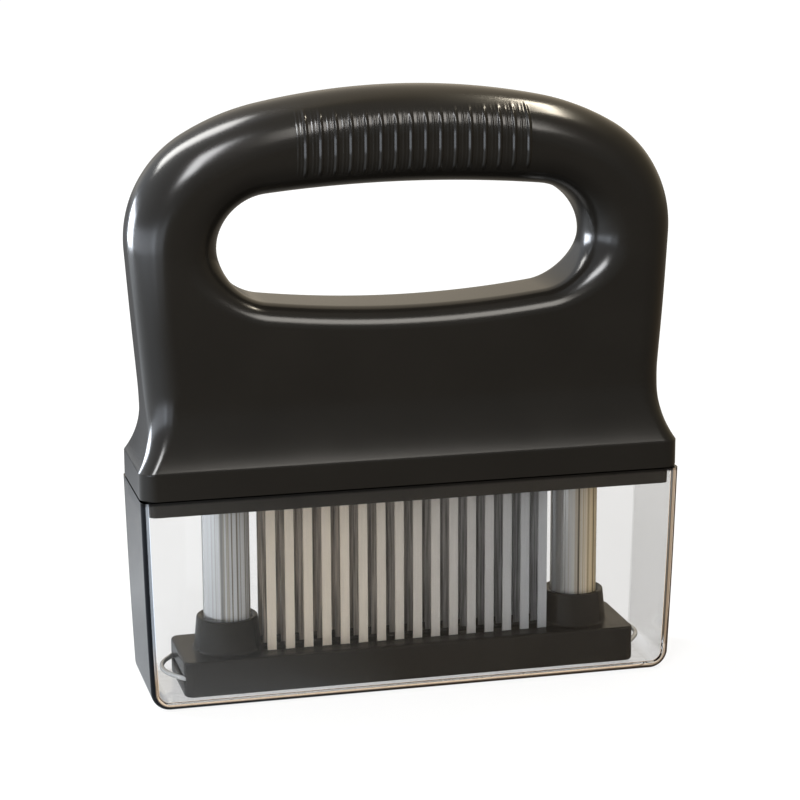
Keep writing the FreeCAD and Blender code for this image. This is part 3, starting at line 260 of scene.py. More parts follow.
@dataclass(frozen=True)
class ClearPlastic:
    """Clear polished plastic with faint scuffs, with painted shade where a rounding or the cut rim is seen.

    The roundings of the front carry painted highlights, cool at the upper left and warm elsewhere, which glow
    a little, and painted shade towards the side, in place of the light and shade of a thick clear edge. The
    end walls carry painted shade where they are seen edge-on, darker lower down and weaker on the right, and
    the cut rim is painted near-black. Fields in mm are where a zone starts and ends, and a lean is how far
    forwards a surface faces, from 0 to 1. The light leans are where the roundings' painted highlight starts:
    low down, high up and in the cool part. Clearness and gloss are those of the painted highlight and of the
    painted shade stretches.
    """

    name: str
    colour: str
    roughness: float
    ior: float = 1.49
    scuff_mm: float = 9.0
    scuff_spread: tuple[float, float] = (0.6, 1.4)
    side_colours: tuple[str, str] = ("#2c2a28", "#0e0e0e")
    side_mm: tuple[float, float] = (55.0, 15.0)
    side_edge_on: tuple[float, float] = (0.6, 0.8)
    side_right: float = 0.35
    rounding_cool: str = "#dfe9f6"
    rounding_warm: str = "#e4c8aa"
    rounding_lean: tuple[float, float, float, float] = (0.03, 0.08, 0.985, 0.998)
    dark_warm: str = "#54463c"
    dark_cool: str = "#15171b"
    light_lean: tuple[float, float, float] = (0.88, 0.78, 0.87)
    light_fade: float = 0.09
    warm_mm: tuple[float, float] = (-30.0, 30.0)
    high_mm: tuple[float, float] = (8.0, 20.0)
    front_mm: tuple[float, float] = (4.0, -4.0)
    rim_mm: tuple[float, float] = (57.5, 58.0)
    rim_colour: str = "#0a0a0a"
    edge_glow: float = 0.3
    clearness: tuple[float, float] = (1.0, 0.1)
    gloss: tuple[float, float] = (0.4, 0.05)

    def material(self) -> bpy.types.Material:
        """Builds the material.

        Returns:
            A refracting material that lets light through to what is inside.
        """
        graph = Graph.of_material(self.name)
        smooth, scuffed = (self.roughness * part for part in self.scuff_spread)
        scuff = graph.grain(self.scuff_mm)
        rough = graph.add("MapRange", {"Value": scuff, "To Min": smooth, "To Max": scuffed})
        place = graph.add("SeparateXYZ", {"Vector": graph.add("TexCoord").outputs["Object"]}).outputs
        lean = graph.add("SeparateXYZ", {"Vector": graph.add("NewGeometry").outputs["True Normal"]}).outputs
        warm_side = graph.zone(place["X"], self.warm_mm)
        high = graph.zone(place["Z"], self.high_mm)
        cool_side = graph.add("Math", {0: 1.0, 1: warm_side}, operation="SUBTRACT")
        cool_part = graph.add("Math", {0: cool_side, 1: high}, operation="MULTIPLY")
        # Where the front's roundings are, by how far they still face forwards.
        facing = graph.add("Math", {0: lean["Y"], 1: -1.0}, operation="MULTIPLY")
        levels = (srgb(BLACK), srgb(WHITE), srgb(WHITE), srgb(BLACK))
        rounded = graph.add("ValToRGB", {"Fac": facing}, list(zip(self.rounding_lean, levels)))
        front = graph.zone(place["Y"], self.front_mm)
        band = graph.add("Math", {0: front, 1: rounded}, operation="MULTIPLY")
        # Painted shade and painted highlight on them: painted shade at the side, painted highlight towards
        # the face.
        low_lean, high_lean, cool_lean = self.light_lean
        warm_lean = graph.add("MapRange", {"Value": high, "To Min": low_lean, "To Max": high_lean})
        start = graph.add("MapRange", {"Value": cool_part, "To Min": warm_lean, "To Max": cool_lean})
        end = graph.add("Math", {0: start, 1: self.light_fade}, operation="ADD")
        light = graph.add("MapRange", {"Value": facing, "From Min": start, "From Max": end})
        # Colour of the painted highlight: cool at the upper left, warm elsewhere.
        tone = graph.add("Mix", {0: cool_part, 6: srgb(self.rounding_warm), 7: srgb(self.rounding_cool)},
                         data_type="RGBA")
        # Colour of the painted shade on the roundings.
        dark = graph.add("Mix", {0: warm_side, 6: srgb(self.dark_cool), 7: srgb(self.dark_warm)},
                         data_type="RGBA")
        rounding = graph.add("Mix", {0: light, 6: dark, 7: tone}, data_type="RGBA")
        # Painted shade on the end walls where they are seen edge-on, darker lower down.
        low = graph.zone(place["Z"], self.side_mm)
        side = graph.add("Mix", {0: low, 6: srgb(self.side_colours[0]), 7: srgb(self.side_colours[1])},
                         data_type="RGBA")
        slant = graph.add("LayerWeight", {"Blend": 0.5}).outputs["Facing"]
        edge_on = graph.add("ValToRGB", {"Fac": slant}, list(zip(self.side_edge_on, levels)))
        end_wall = graph.add("Math", {0: lean["X"]}, operation="ABSOLUTE")
        end_wall_shade = graph.add("Math", {0: edge_on, 1: end_wall}, operation="MULTIPLY")
        # Weaker painted shade on the right end wall.
        less_right = graph.add("MapRange", {"Value": warm_side, "To Min": 1.0, "To Max": self.side_right})
        end_wall_shade = graph.add("Math", {0: end_wall_shade, 1: less_right}, operation="MULTIPLY")
        body = graph.add("Mix", {0: end_wall_shade, 6: srgb(self.colour), 7: side}, data_type="RGBA")
        colour = graph.add("Mix", {0: band, 6: body, 7: rounding}, data_type="RGBA")
        # The cut rim is painted near-black, as painted shade.
        rim = graph.zone(place["Z"], self.rim_mm)
        colour = graph.add("Mix", {0: rim, 6: colour, 7: srgb(self.rim_colour)}, data_type="RGBA")
        # Roundings with painted highlight glow a little, as painted light, and those with painted shade let
        # little through and shine less.
        glow = graph.add("Math", {0: band, 1: light}, operation="MULTIPLY")
        glow = graph.add("Math", {0: glow, 1: self.edge_glow}, operation="MULTIPLY")
        dim = graph.add("Math", {0: 1.0, 1: light}, operation="SUBTRACT")
        shaded = graph.add("Math", {0: band, 1: dim}, operation="MULTIPLY")
        clear, dull = self.clearness
        through = graph.add("MapRange", {"Value": shaded, "To Min": clear, "To Max": dull})
        gloss = graph.add("MapRange", {"Value": shaded, "To Min": self.gloss[0], "To Max": self.gloss[1]})
        return graph.finish({"Base Color": colour, "Roughness": rough, "IOR": self.ior,
                             "Transmission Weight": through, "Specular IOR Level": gloss,
                             "Emission Color": tone, "Emission Strength": glow})


class GrainAxis(Enum):
    """Direction of a metal's grinding or drawing lines, as their frequency along each axis."""

    ALONG_Z = (1.0, 1.0, 0.03)
    NONE = (1.0, 1.0, 1.0)


@dataclass(frozen=True)
class GroundSteel:
    """Steel with grinding or drawing lines along one axis, and where given, painted shade that makes it
    cooler and darker towards the right.
    """

    name: str
    colour: str
    roughness: float
    axis: GrainAxis
    line_mm: float = 0.5
    depth_mm: float = 0.003
    line_strength: float = 0.6
    metallic: float = 1.0
    contrast: float = 0.82
    line_spread: float = 0.05
    cloud_mm: float = 11.0
    cloud_spread: float = 0.03
    far_colour: str = ""
    far_mm: tuple[float, float] = (-20.0, 35.0)

    def material(self) -> bpy.types.Material:
        """Builds the material.

        Returns:
            A metal material with directional lines.
        """
        graph = Graph.of_material(self.name)
        lines = graph.grain(self.line_mm, self.axis.value, detail=3.0)
        cloud = graph.grain(self.cloud_mm)
        base = srgb(self.colour)
        # Painted shade: cooler and darker towards the right.
        if self.far_colour:
            place = graph.add("SeparateXYZ", {"Vector": graph.add("TexCoord").outputs["Object"]}).outputs
            far = graph.zone(place["X"], self.far_mm)
            base = graph.add("Mix", {0: far, 6: base, 7: srgb(self.far_colour)}, data_type="RGBA")
        groove = (self.contrast,) * 3 + (1.0,)
        shade = graph.add("ValToRGB", {"Fac": lines}, ((0.35, groove), (0.62, srgb(WHITE))))
        colour = graph.add("Mix", {0: 1.0, 6: base, 7: shade}, data_type="RGBA", blend_type="MULTIPLY")
        clouded = graph.add("MapRange", {"Value": cloud, "To Min": self.roughness - self.cloud_spread,
                                         "To Max": self.roughness + self.cloud_spread})
        lined = graph.add("MapRange", {"Value": lines, "To Min": -self.line_spread,
                                       "To Max": self.line_spread})
        rough = graph.add("Math", {0: clouded, 1: lined}, operation="ADD")
        normal = graph.add("Bump", {"Height": lines, "Distance": self.depth_mm * MM,
                                    "Strength": self.line_strength})
        return graph.finish({"Base Color": colour, "Metallic": self.metallic, "Roughness": rough,
                             "Normal": normal})


@dataclass(frozen=True)
class DrawnTube:
    """Drawn and polished tube with fine drawing lines that run straight down it, coloured light and dark as
    painted reflections.

    The left tube's left flank carries a painted highlight, and the right tube a painted reflection that makes
    it duller and warmer. Bare is how much of the metal's own reflection shows, from the left flank to the
    middle of a tube.
    """

    name: str
    roughness: float
    post_x_mm: float = 49.8
    # Painted reflection tones around the tube, from dark to white.
    tones: tuple[tuple[float, str], ...] = (
        (0.3, "#24262c"), (0.38, "#8e8a80"), (0.45, "#dcd6ca"), (0.52, "#eef2f6"), (0.62, "#ffffff"))
    lines_around: float = 3.4
    line_shift: float = 3.3
    line_roughness: float = 0.7
    line_depth_mm: float = 0.02
    line_strength: float = 0.6
    cloud_mm: float = 11.0
    cloud_spread: float = 0.03
    warm: str = "#ecd6b0"
    warm_mm: tuple[float, float] = (46.0, 53.0)
    lit_mm: tuple[float, float] = (-0.5, -3.5)
    lit: float = 0.5
    bare_mm: tuple[float, float] = (-4.0, 0.0)
    bare: tuple[float, float] = (0.7, 0.35)
    bare_right: float = 0.4

    def material(self) -> bpy.types.Material:
        """Builds the material.

        Returns:
            A metal material whose lines depend on the angle around each tube only.
        """
        graph = Graph.of_material(self.name)
        place = graph.add("SeparateXYZ", {"Vector": graph.add("TexCoord").outputs["Object"]}).outputs
        away = graph.add("Math", {0: place["X"]}, operation="ABSOLUTE")
        outwards = graph.add("Math", {0: away, 1: self.post_x_mm * MM}, operation="SUBTRACT")
        angle = graph.add("Math", {0: place["Y"], 1: outwards}, operation="ARCTAN2")
        side = graph.add("Math", {0: place["X"]}, operation="SIGN")
        shift = graph.add("Math", {0: side, 1: self.line_shift}, operation="MULTIPLY")
        around = graph.add("Math", {0: angle, 1: shift}, operation="ADD")
        lines = graph.add("TexNoise", {"W": around, "Scale": self.lines_around, "Detail": 3.0,
                                       "Roughness": self.line_roughness}, noise_dimensions="1D")
        # Painted reflections: light and dark stripes around each tube.
        colour = graph.add("ValToRGB", {"Fac": lines}, [(stop, srgb(tone)) for stop, tone in self.tones])
        # Painted warm reflection on the right tube.
        right = graph.zone(place["X"], self.warm_mm)
        colour = graph.add("Mix", {0: right, 6: colour, 7: srgb(self.warm)}, data_type="RGBA",
                           blend_type="MULTIPLY")
        cloud = graph.grain(self.cloud_mm)
        rough = graph.add("MapRange", {"Value": cloud, "To Min": self.roughness - self.cloud_spread,
                                       "To Max": self.roughness + self.cloud_spread})
        normal = graph.add("Bump", {"Height": lines, "Distance": self.line_depth_mm * MM,
                                    "Strength": self.line_strength})
        middle = graph.add("Math", {0: side, 1: self.post_x_mm * MM}, operation="MULTIPLY")
        offset = graph.add("Math", {0: place["X"], 1: middle}, operation="SUBTRACT")
        # Painted highlight on the left tube's left flank.
        lit = graph.zone(offset, self.lit_mm, (0.0, self.lit))
        left = graph.add("Math", {0: 1.0, 1: right}, operation="SUBTRACT")
        left_flank_highlight = graph.add("Math", {0: lit, 1: left}, operation="MULTIPLY")
        colour = graph.add("Mix", {0: left_flank_highlight, 6: colour, 7: srgb(WHITE)}, data_type="RGBA")
        # Less metal reflection where the painted highlight lies.
        bare = graph.zone(offset, self.bare_mm, self.bare)
        kept = graph.add("MapRange", {"Value": right, "To Min": 1.0, "To Max": self.bare_right})
        bare = graph.add("Math", {0: bare, 1: kept}, operation="MULTIPLY")
        return graph.finish({"Base Color": colour, "Metallic": bare, "Roughness": rough, "Normal": normal})


@dataclass(frozen=True)
class Finishes:
    """Every finish of the tool."""

    # Satin-moulded ABS: soft, wide highlights on a warm black, with a fine grain in them.
    handle: MouldedPlastic = MouldedPlastic("abs_black_satin_moulded", "#181613", 0.2, specular=0.42)
    # ABS from a smoother mould: a browner black that shines more evenly.
    guard: MouldedPlastic = MouldedPlastic("abs_black_smooth_moulded", "#2c2924", 0.22, 0.35, 0.0003,
                                           specular=0.42)
    # Moulded acetal: a waxy dark grey that hardly shines.
    bearing: MouldedPlastic = MouldedPlastic("acetal_dark_moulded", "#303030", 0.45)
    # Polished acrylic: its faces are hardly seen, and painted highlights and painted shade on its roundings,
    # end walls and rim draw it.
    clear: ClearPlastic = ClearPlastic("acrylic_clear_polished", "#f5f5f5", 0.006)
    # Ground stainless strip: pale, matt and warm, with painted shade that makes it cooler and darker towards
    # the right.
    blade: GroundSteel = GroundSteel("stainless_strip_ground", "#fff2de", 0.34, GrainAxis.ALONG_Z,
                                     metallic=0.1, contrast=0.94, far_colour="#c8cacc")
    # Strip of the rows behind, with painted shade: darker and more streaked, so that the front row stands
    # out.
    blade_inner: GroundSteel = GroundSteel("stainless_strip_dull", "#ddd3c6", 0.4, GrainAxis.ALONG_Z,
                                           metallic=0.4, contrast=0.4, far_colour="#b0b2b4")
    # Drawn and polished stainless tube: painted reflections as light and dark lines straight down it, on real
    # drawing lines.
    tube: DrawnTube = DrawnTube("stainless_tube_polished", 0.14)
    # Drawn spring wire: a bright line along each turn.
    wire: GroundSteel = GroundSteel("spring_wire_drawn", "#eeeeec", 0.25, GrainAxis.NONE, metallic=0.6)
    # Turned steel: an even grey shine.
    turned: GroundSteel = GroundSteel("steel_turned", "#a8a8aa", 0.3, GrainAxis.NONE)
    # Zinc plating: greyer and duller than the bare steel.
    screw: GroundSteel = GroundSteel("screw_zinc_plated", "#9c9c9c", 0.38, GrainAxis.NONE)


# ---------------------------------------------------------------- mesh helpers
def to_object(name: str, bm: bmesh.types.BMesh, material: bpy.types.Material,
              smooth_deg: float = 35.0) -> bpy.types.Object:
    """Turns millimetre mesh data into a finished object in metres.

    Args:
        name: Name of the piece.
        bm: Mesh in millimetres; it is freed.
        material: Finish of the whole piece.
        smooth_deg: Edges sharper than this stay sharp.

    Returns:
        The object, at the origin, unturned and unscaled.
    """
    bmesh.ops.recalc_face_normals(bm, faces=bm.faces)
    bmesh.ops.scale(bm, vec=(MM, MM, MM), verts=bm.verts)
    limit = math.radians(smooth_deg)
    for face in bm.faces:
        face.smooth = True
    for edge in bm.edges:
        if len(edge.link_faces) == 2:
            edge.smooth = edge.calc_face_angle(0.0) < limit
    mesh = bpy.data.meshes.new(name)
    bm.to_mesh(mesh)
    bm.free()
    mesh.materials.append(material)
    obj = bpy.data.objects.new(name, mesh)
    bpy.context.scene.collection.objects.link(obj)
    return obj


def discard(obj: bpy.types.Object) -> None:
    """Removes an object together with its mesh.

    Args:
        obj: Object to remove.
    """
    data = obj.data
    bpy.data.objects.remove(obj)
    bpy.data.meshes.remove(data)


def apply_modifiers(piece: bpy.types.Object) -> None:
    """Makes a piece's modifiers part of its mesh.

    Args:
        piece: Object whose modifiers are used up.
    """
    bpy.context.view_layer.update()
    graph = bpy.context.evaluated_depsgraph_get()
    mesh = bpy.data.meshes.new_from_object(piece.evaluated_get(graph))
    piece.modifiers.clear()
    old = piece.data
    piece.data = mesh
    bpy.data.meshes.remove(old)
    mesh.name = piece.name


def patch(bm: bmesh.types.BMesh, rows: int, columns: int,
          place: Callable[[float, float], Vector]) -> None:
    """Adds a grid and lays it on a surface.

    Args:
        bm: Mesh to add to.
        rows: Faces along the first parameter.
        columns: Faces along the second parameter.
        place: Point of the surface for two parameters between 0 and 1.
    """
    for vert in bmesh.ops.create_grid(bm, x_segments=rows, y_segments=columns, size=1.0)["verts"]:
        u = min(max((vert.co.x + 1) / 2, 0.0), 1.0)
        v = min(max((vert.co.y + 1) / 2, 0.0), 1.0)
        vert.co = place(u, v)


def join_seams(bm: bmesh.types.BMesh, distance: float = 0.002) -> None:
    """Merges vertices that lie on each other, up to a distance apart."""
    bmesh.ops.remove_doubles(bm, verts=bm.verts, dist=distance)


def spun(bm: bmesh.types.BMesh, profile: Sequence[tuple[float, float]], centre: Vector,
         steps: int = 96) -> None:
    """Adds a body of revolution about a vertical axis.

    Args:
        bm: Mesh to add to.
        profile: Closed profile as radius and height pairs.
        centre: Point on the axis.
        steps: Faces around.
    """
    verts = [bm.verts.new(centre + Vector((radius, 0, height))) for radius, height in profile]
    edges = [bm.edges.new((verts[i], verts[(i + 1) % len(verts)])) for i in range(len(verts))]
    bmesh.ops.spin(bm, geom=verts + edges, cent=centre, axis=(0, 0, 1), angle=math.tau, steps=steps,
                   use_merge=True)
    join_seams(bm, 0.0005)


def box(bm: bmesh.types.BMesh, low: Sequence[float], high: Sequence[float]) -> None:
    """Adds a box between its lowest and its highest corner."""
    for vert in bmesh.ops.create_cube(bm, size=1.0)["verts"]:
        vert.co = Vector([low[k] if vert.co[k] < 0 else high[k] for k in range(3)])


def bevel(bm: bmesh.types.BMesh, edges: Sequence, width: float, steps: int) -> None:
    """Rounds edges to a width, which is the radius at a square edge, in so many steps."""
    bmesh.ops.bevel(bm, geom=list(edges), offset=width, offset_type="OFFSET", segments=steps, profile=0.5,
                    affect="EDGES", material=-1)


def arc_points(centre: tuple, radius: float, start: float, end: float,
               steps: int) -> list[tuple[float, float]]:
    """Points of an arc in a plane, from its first angle in degrees to its last."""
    angles = [math.radians(start + (end - start) * i / steps) for i in range(steps + 1)]
    return [(centre[0] + radius * math.cos(a), centre[1] + radius * math.sin(a)) for a in angles]


def swung(centre: Vector, radius: float, start: float, end: float, steps: int) -> list[tuple[Vector, Vector]]:
    """Points of an arc seen from the front, without its last one, and their directions from its centre.

    Args:
        centre: Middle of the arc.
        radius: Radius of the arc.
        start: First angle in radians, clockwise from straight up.
        end: Last angle.
        steps: Number of segments.

    Returns:
        Pairs of point and direction.
    """
    made = []
    for index in range(steps):
        angle = start + (end - start) * index / steps
        out = Vector((math.sin(angle), math.cos(angle)))
        made.append((centre + out * radius, out))
    return made


def carve(piece: bpy.types.Object, cutter: bpy.types.Object) -> None:
    """Cuts a shape out of a piece and removes the cutting shape.

    Args:
        piece: Closed object to cut.
        cutter: Closed shapes to take away.
    """
    modifier = piece.modifiers.new("cut", "BOOLEAN")
    modifier.operation = "DIFFERENCE"
    modifier.solver = "EXACT"
    modifier.object = cutter
    apply_modifiers(piece)
    discard(cutter)


def level_normals(piece: bpy.types.Object) -> None:
    """Lets large flat faces shade flat right up to their rounded edges.

    Args:
        piece: Finished object with sharp edges marked.
    """
    modifier = piece.modifiers.new("level", "WEIGHTED_NORMAL")
    modifier.mode = "FACE_AREA"
    modifier.weight = 100
    modifier.keep_sharp = True
    apply_modifiers(piece)


def mirror_depth(bm: bmesh.types.BMesh) -> None:
    """Turns a mesh of the tool's front into the same one at its rear."""
    bmesh.ops.scale(bm, vec=(1, -1, 1), verts=bm.verts)


def smooth_step(share: float) -> float:
    """Eases a share, held between 0 and 1, so that it starts and ends level."""
    share = min(max(share, 0.0), 1.0)
    return share * share * (3 - 2 * share)


# ---------------------------------------------------------------- handle
@dataclass(frozen=True)
class OutlinePoint:
    """One point of an outline seen from the front."""

    x: float
    z: float
    inward: tuple[float, float]
    rounding: float
    half_depth: float


@dataclass
class Handle:
    """The two moulded shells of the handle, seen as one flush body, with ribs on the top bar.

    The crown and the shoulder are arcs, each a radius and an angle in degrees. The opening's arcs are the
    radii of its upper and lower edge, and its roundings those at the bottom, the sides and the top. A
    screw place is an x and a height, and a screw recess a radius and the y where it starts. Each crest of
    a rib is its place across the rib, half its width and its height, as shares of the rib's.
    """

    finish: bpy.types.Material
    width: float = 150.0
    depth: float = 35.0
    top: float = 165.0
    foot: float = 58.85
    skirt_top: float = 66.1
    slab_foot: float = 87.8
    slab_depth: float = 26.5
    crown: tuple[float, float] = (194.0, 11.6)
    shoulder: tuple[float, float] = (66.0, 18.8)
    slope_deg: float = 4.6
    skirt_corner: float = 4.6
    side_round: float = 8.8
    crown_round: float = 12.1
    end_flare: float = 14.0
    opening_width: float = 101.8
    opening_top: float = 139.4
    opening_bottom: float = 106.5
    opening_arcs: tuple[float, float] = (376.0, 300.0)
    opening_round: tuple[float, float, float] = (6.0, 12.4, 10.2)
    wall: float = 2.25
    screw_places: tuple[tuple[float, float], ...] = ((25.75, 96.8), (62.95, 123.25), (40.7, 147.7))
    screw_recess: tuple[float, float] = (3.1, 6.6)
    screw_steps: int = 48
    rib_count: int = 16
    rib_pitch: float = 4.05
    rib_crests: tuple[tuple[float, float, float], ...] = (
        (0.26, 0.42, 1.0), (-0.26, 0.24, 0.2), (-0.76, 0.24, 0.24))
    rib_rise: float = 0.45
    rib_base: float = 0.08
    rib_sink: float = 0.02
    rib_ends: tuple[float, float] = (0.14, 0.26)
    rib_mesh: tuple[int, int] = (40, 48)
    rib_shift: float = 1.3
    rib_span: tuple[float, float] = (142.2, 160.4)
    arc_steps: tuple[int, int, int] = (18, 12, 26)
    side_steps: int = 14
    side_straight: float = 0.3
    flare_steps: int = 22
    flare_foot: float = 0.45
    skirt_levels: tuple[float, float] = (0.35, 3.5)
    foot_edge: tuple[float, float] = (0.12, 0.35)
    opening_steps: tuple[int, int, int] = (20, 36, 20)
    opening_halvings: int = 60
    rim_steps: int = 19
    flat_steps: int = 3
    face_steps: int = 28
    skirt_inside: float = 3.0

    def flare(self, rise: float, height: float, step: float) -> float:
        """Outward offset of the flare, an arc that ends upright.

        Args:
            rise: Height above the skirt.
            height: Height of the whole flare.
            step: Offset at its foot.

        Returns:
            Offset in millimetres.
        """
        radius = (height ** 2 + step ** 2) / (2 * step)
        rest = min(max(height - rise, 0.0), height)
        return radius - math.sqrt(radius ** 2 - rest ** 2)

    def half_depth(self, z: float) -> float:
        """Distance from the middle plane to the handle's face at a height."""
        step = (self.depth - self.slab_depth) / 2
        return self.slab_depth / 2 + self.flare(z - self.skirt_top, self.slab_foot - self.skirt_top, step)

    def rounding(self, z: float) -> float:
        """Radius between face and side of the outline at a height.

        Args:
            z: Height.

        Returns:
            Radius in millimetres.
        """
        if z < self.slab_foot:
            share = smooth_step((z - self.skirt_top) / (self.slab_foot - self.skirt_top))
            return self.skirt_corner + (self.side_round - self.skirt_corner) * share
        low, high = (self.slab_foot + self.opening_bottom) / 2, (self.opening_top + self.top) / 2
        share = smooth_step((z - low) / (high - low))
        return self.side_round + (self.crown_round - self.side_round) * share

    def right_outline(self) -> list[OutlinePoint]:
        """Outline of the right half from the top's middle down to the foot.

        Returns:
            Points with inward directions.
        """
        slope = math.radians(self.slope_deg)
        crown_r, crown_a = self.crown[0], math.radians(self.crown[1])
        shoulder_r, shoulder_a = self.shoulder[0], crown_a + math.radians(self.shoulder[1])
        reach = crown_r * math.sin(crown_a) + shoulder_r * (math.sin(shoulder_a) - math.sin(crown_a))
        corner_r = (self.width / 2 - reach) / (1 - math.sin(shoulder_a))
        crown_c = Vector((0, self.top - crown_r))
        shoulder_c = crown_c + Vector((math.sin(crown_a), math.cos(crown_a))) * (crown_r - shoulder_r)
        corner_c = shoulder_c + Vector((math.sin(shoulder_a), math.cos(shoulder_a))) * (shoulder_r - corner_r)
        arcs = ((crown_c, crown_r, 0.0, crown_a), (shoulder_c, shoulder_r, crown_a, shoulder_a),
                (corner_c, corner_r, shoulder_a, math.pi / 2 + slope))
        curve = [pair for arc, steps in zip(arcs, self.arc_steps) for pair in swung(*arc, steps)]
        points = [(spot, -out) for spot, out in curve]
        end = corner_c + Vector((math.cos(slope), -math.sin(slope))) * corner_r
        for index in range(self.side_steps + 1):
            share = index / self.side_steps
            z = end.y + (self.slab_foot - end.y) * share
            spot = Vector((end.x - (end.y - z) * math.tan(slope), z))
            tilt = slope * (1 - smooth_step((share - self.side_straight) / (1 - self.side_straight)))
            points.append((spot, Vector((-math.cos(tilt), math.sin(tilt)))))
        rise = self.slab_foot - self.skirt_top
        straight = points[-1][0].x - rise * math.tan(slope)
        step = self.width / 2 - straight
        levels = [rise * (1 - index / self.flare_steps) for index in range(1, self.flare_steps)]
        for level in levels + [self.flare_foot, 0.0]:
            x = straight + level * math.tan(slope) + self.flare(level, self.end_flare, step)
            points.append((Vector((x, self.skirt_top + level)), Vector((-1.0, 0.0))))
        inset, chamfer = self.foot_edge
        skirt = [(0.0, self.skirt_top - level) for level in self.skirt_levels]
        for back, z in skirt + [(0.0, self.foot + chamfer), (inset, self.foot)]:
            points.append((Vector((self.width / 2 - back, z)), Vector((-1.0, 0.0))))
        return [OutlinePoint(spot.x, spot.y, tuple(inward), self.rounding(spot.y), self.half_depth(spot.y))
                for spot, inward in points]

    def outline(self) -> list[OutlinePoint]:
        """The whole outline from the left foot over the top to the right foot.

        Returns:
            Points in order.
        """
        right = self.right_outline()
        left = [OutlinePoint(-p.x, p.z, (-p.inward[0], p.inward[1]), p.rounding, p.half_depth)
                for p in reversed(right[1:])]
        return left + right

    def opening(self) -> list[OutlinePoint]:
        """The hand opening's closed outline, starting at its top's middle.

        Returns:
            Points in order, whose inward direction leads away from the opening, into the material.
        """
        half = self.opening_width / 2
        top_r, bottom_r = self.opening_arcs
        top_c = Vector((0, self.opening_top - top_r))
        bottom_c = Vector((0, self.opening_bottom + bottom_r))
        small, large = 0.0, (self.opening_top - self.opening_bottom) / 2
        # Halving the range finds the end radius that meets the upper and the lower arc.
        for _ in range(self.opening_halvings):
            radius = (small + large) / 2
            centre_x = half - radius
            high = top_c.y + math.sqrt((top_r - radius) ** 2 - centre_x ** 2)
            low = bottom_c.y - math.sqrt((bottom_r - radius) ** 2 - centre_x ** 2)
            small, large = (radius, large) if high > low else (small, radius)
        centre = Vector((half - small, (high + low) / 2))
        upper = math.atan2(centre.x - top_c.x, centre.y - top_c.y)
        lower = math.atan2(centre.x - bottom_c.x, bottom_c.y - centre.y)
        under = math.pi - lower
        arcs = ((top_c, top_r, 0.0, upper), (centre, small, upper, under),
                (bottom_c, bottom_r, under, math.pi))
        right = [pair for arc, steps in zip(arcs, self.opening_steps) for pair in swung(*arc, steps)]
        right.append((Vector((0, self.opening_bottom)), Vector((0, -1))))
        left = [(Vector((-p.x, p.y)), Vector((-n.x, n.y))) for p, n in reversed(right[1:-1])]
        low_round, side_round, high_round = self.opening_round
        made = []
        for spot, out in right + left:
            other = high_round if out.y > 0 else low_round
            radius = side_round + (other - side_round) * smooth_step(abs(out.y))
            made.append(OutlinePoint(spot.x, spot.y, tuple(out), radius, self.half_depth(spot.y)))
        return made

    def rim_point(self, point: OutlinePoint, along: float) -> Vector:
        """A point between the middle plane and the front face along one outline point.

        Args:
            point: Where on the outline.
            along: 0 at the middle plane, 1 on the front face.

        Returns:
            The point on the straight side or on its rounding.
        """
        band = self.flat_steps / self.rim_steps
        flat = point.half_depth - point.rounding
        if along <= band:
            return Vector((point.x, -flat * along / band, point.z))
        turn = (along - band) / (1 - band) * math.pi / 2
        inset = point.rounding * (1 - math.cos(turn))
        return Vector((point.x + point.inward[0] * inset, -flat - point.rounding * math.sin(turn),
                       point.z + point.inward[1] * inset))

    def half_shell(self, name: str, front: bool) -> bpy.types.Object:
        """Builds one shell from the middle plane to its face.

        Args:
            name: Name of the piece.
            front: True for the front shell.

        Returns:
            The shell as an object.
        """
        bm = bmesh.new()
        outline, opening = self.outline(), self.opening()

        def at(points: list[OutlinePoint], share: float) -> OutlinePoint:
            """The point at a share of the way along an outline."""
            return points[min(round(share * (len(points) - 1)), len(points) - 1)]

        for line in (outline, opening + [opening[0]]):
            patch(bm, len(line) - 1, self.rim_steps, lambda u, v: self.rim_point(at(line, u), v))
        lower = [p for p in outline if p.x > 0 and p.z <= self.slab_foot + FLUSH]

        def flare_face(u: float, v: float) -> Vector:
            """Place on the flared face below the slab, level from one side to the other."""
            edge = self.rim_point(at(lower, u), 1.0)
            return Vector((edge.x * (1 - 2 * v), edge.y, edge.z))

        patch(bm, len(lower) - 1, self.face_steps, flare_face)
        join_seams(bm)
        self.fill(bm, "y", -self.slab_depth / 2, self.slab_foot - FLUSH)
        if not front:
            mirror_depth(bm)
            self.cut_screw_recesses(bm)
        self.add_skirt_inside(bm)
        return to_object(name, bm, self.finish)

    @staticmethod
    def fill(bm: bmesh.types.BMesh, axis: str, level: float, lowest: float = -1.0) -> None:
        """Fills the flat gap that lies at one level, whatever holes it has.

        Args:
            bm: Mesh with open borders.
            axis: Axis that the gap faces.
            level: Where on that axis the gap lies.
            lowest: Height below which borders are left open.
        """
        borders = [edge for edge in bm.edges if not edge.is_manifold
                   and all(abs(getattr(v.co, axis) - level) < FLUSH and v.co.z > lowest for v in edge.verts)]
        bmesh.ops.triangle_fill(bm, use_beauty=True, use_dissolve=False, edges=borders)

    def add_skirt_inside(self, bm: bmesh.types.BMesh) -> None:
        """Adds the shell's underside and the inside of its skirt.

        Args:
            bm: The shell so far.
        """
        edges = [edge for edge in bm.edges if edge.is_boundary
                 and all(abs(v.co.z - self.foot) < FLUSH for v in edge.verts)]
        made = bmesh.ops.extrude_edge_only(bm, edges=edges)["geom"]
        inner = [v for v in made if isinstance(v, bmesh.types.BMVert)]
        half_x, half_y = self.width / 2, self.depth / 2
        for vert in inner:
            vert.co.x *= (half_x - self.wall) / half_x
            vert.co.y *= (half_y - self.wall) / half_y
        edges = [e for e in made if isinstance(e, bmesh.types.BMEdge)]
        made = bmesh.ops.extrude_edge_only(bm, edges=edges)["geom"]
        for vert in made:
            if isinstance(vert, bmesh.types.BMVert):
                vert.co.z += self.skirt_inside

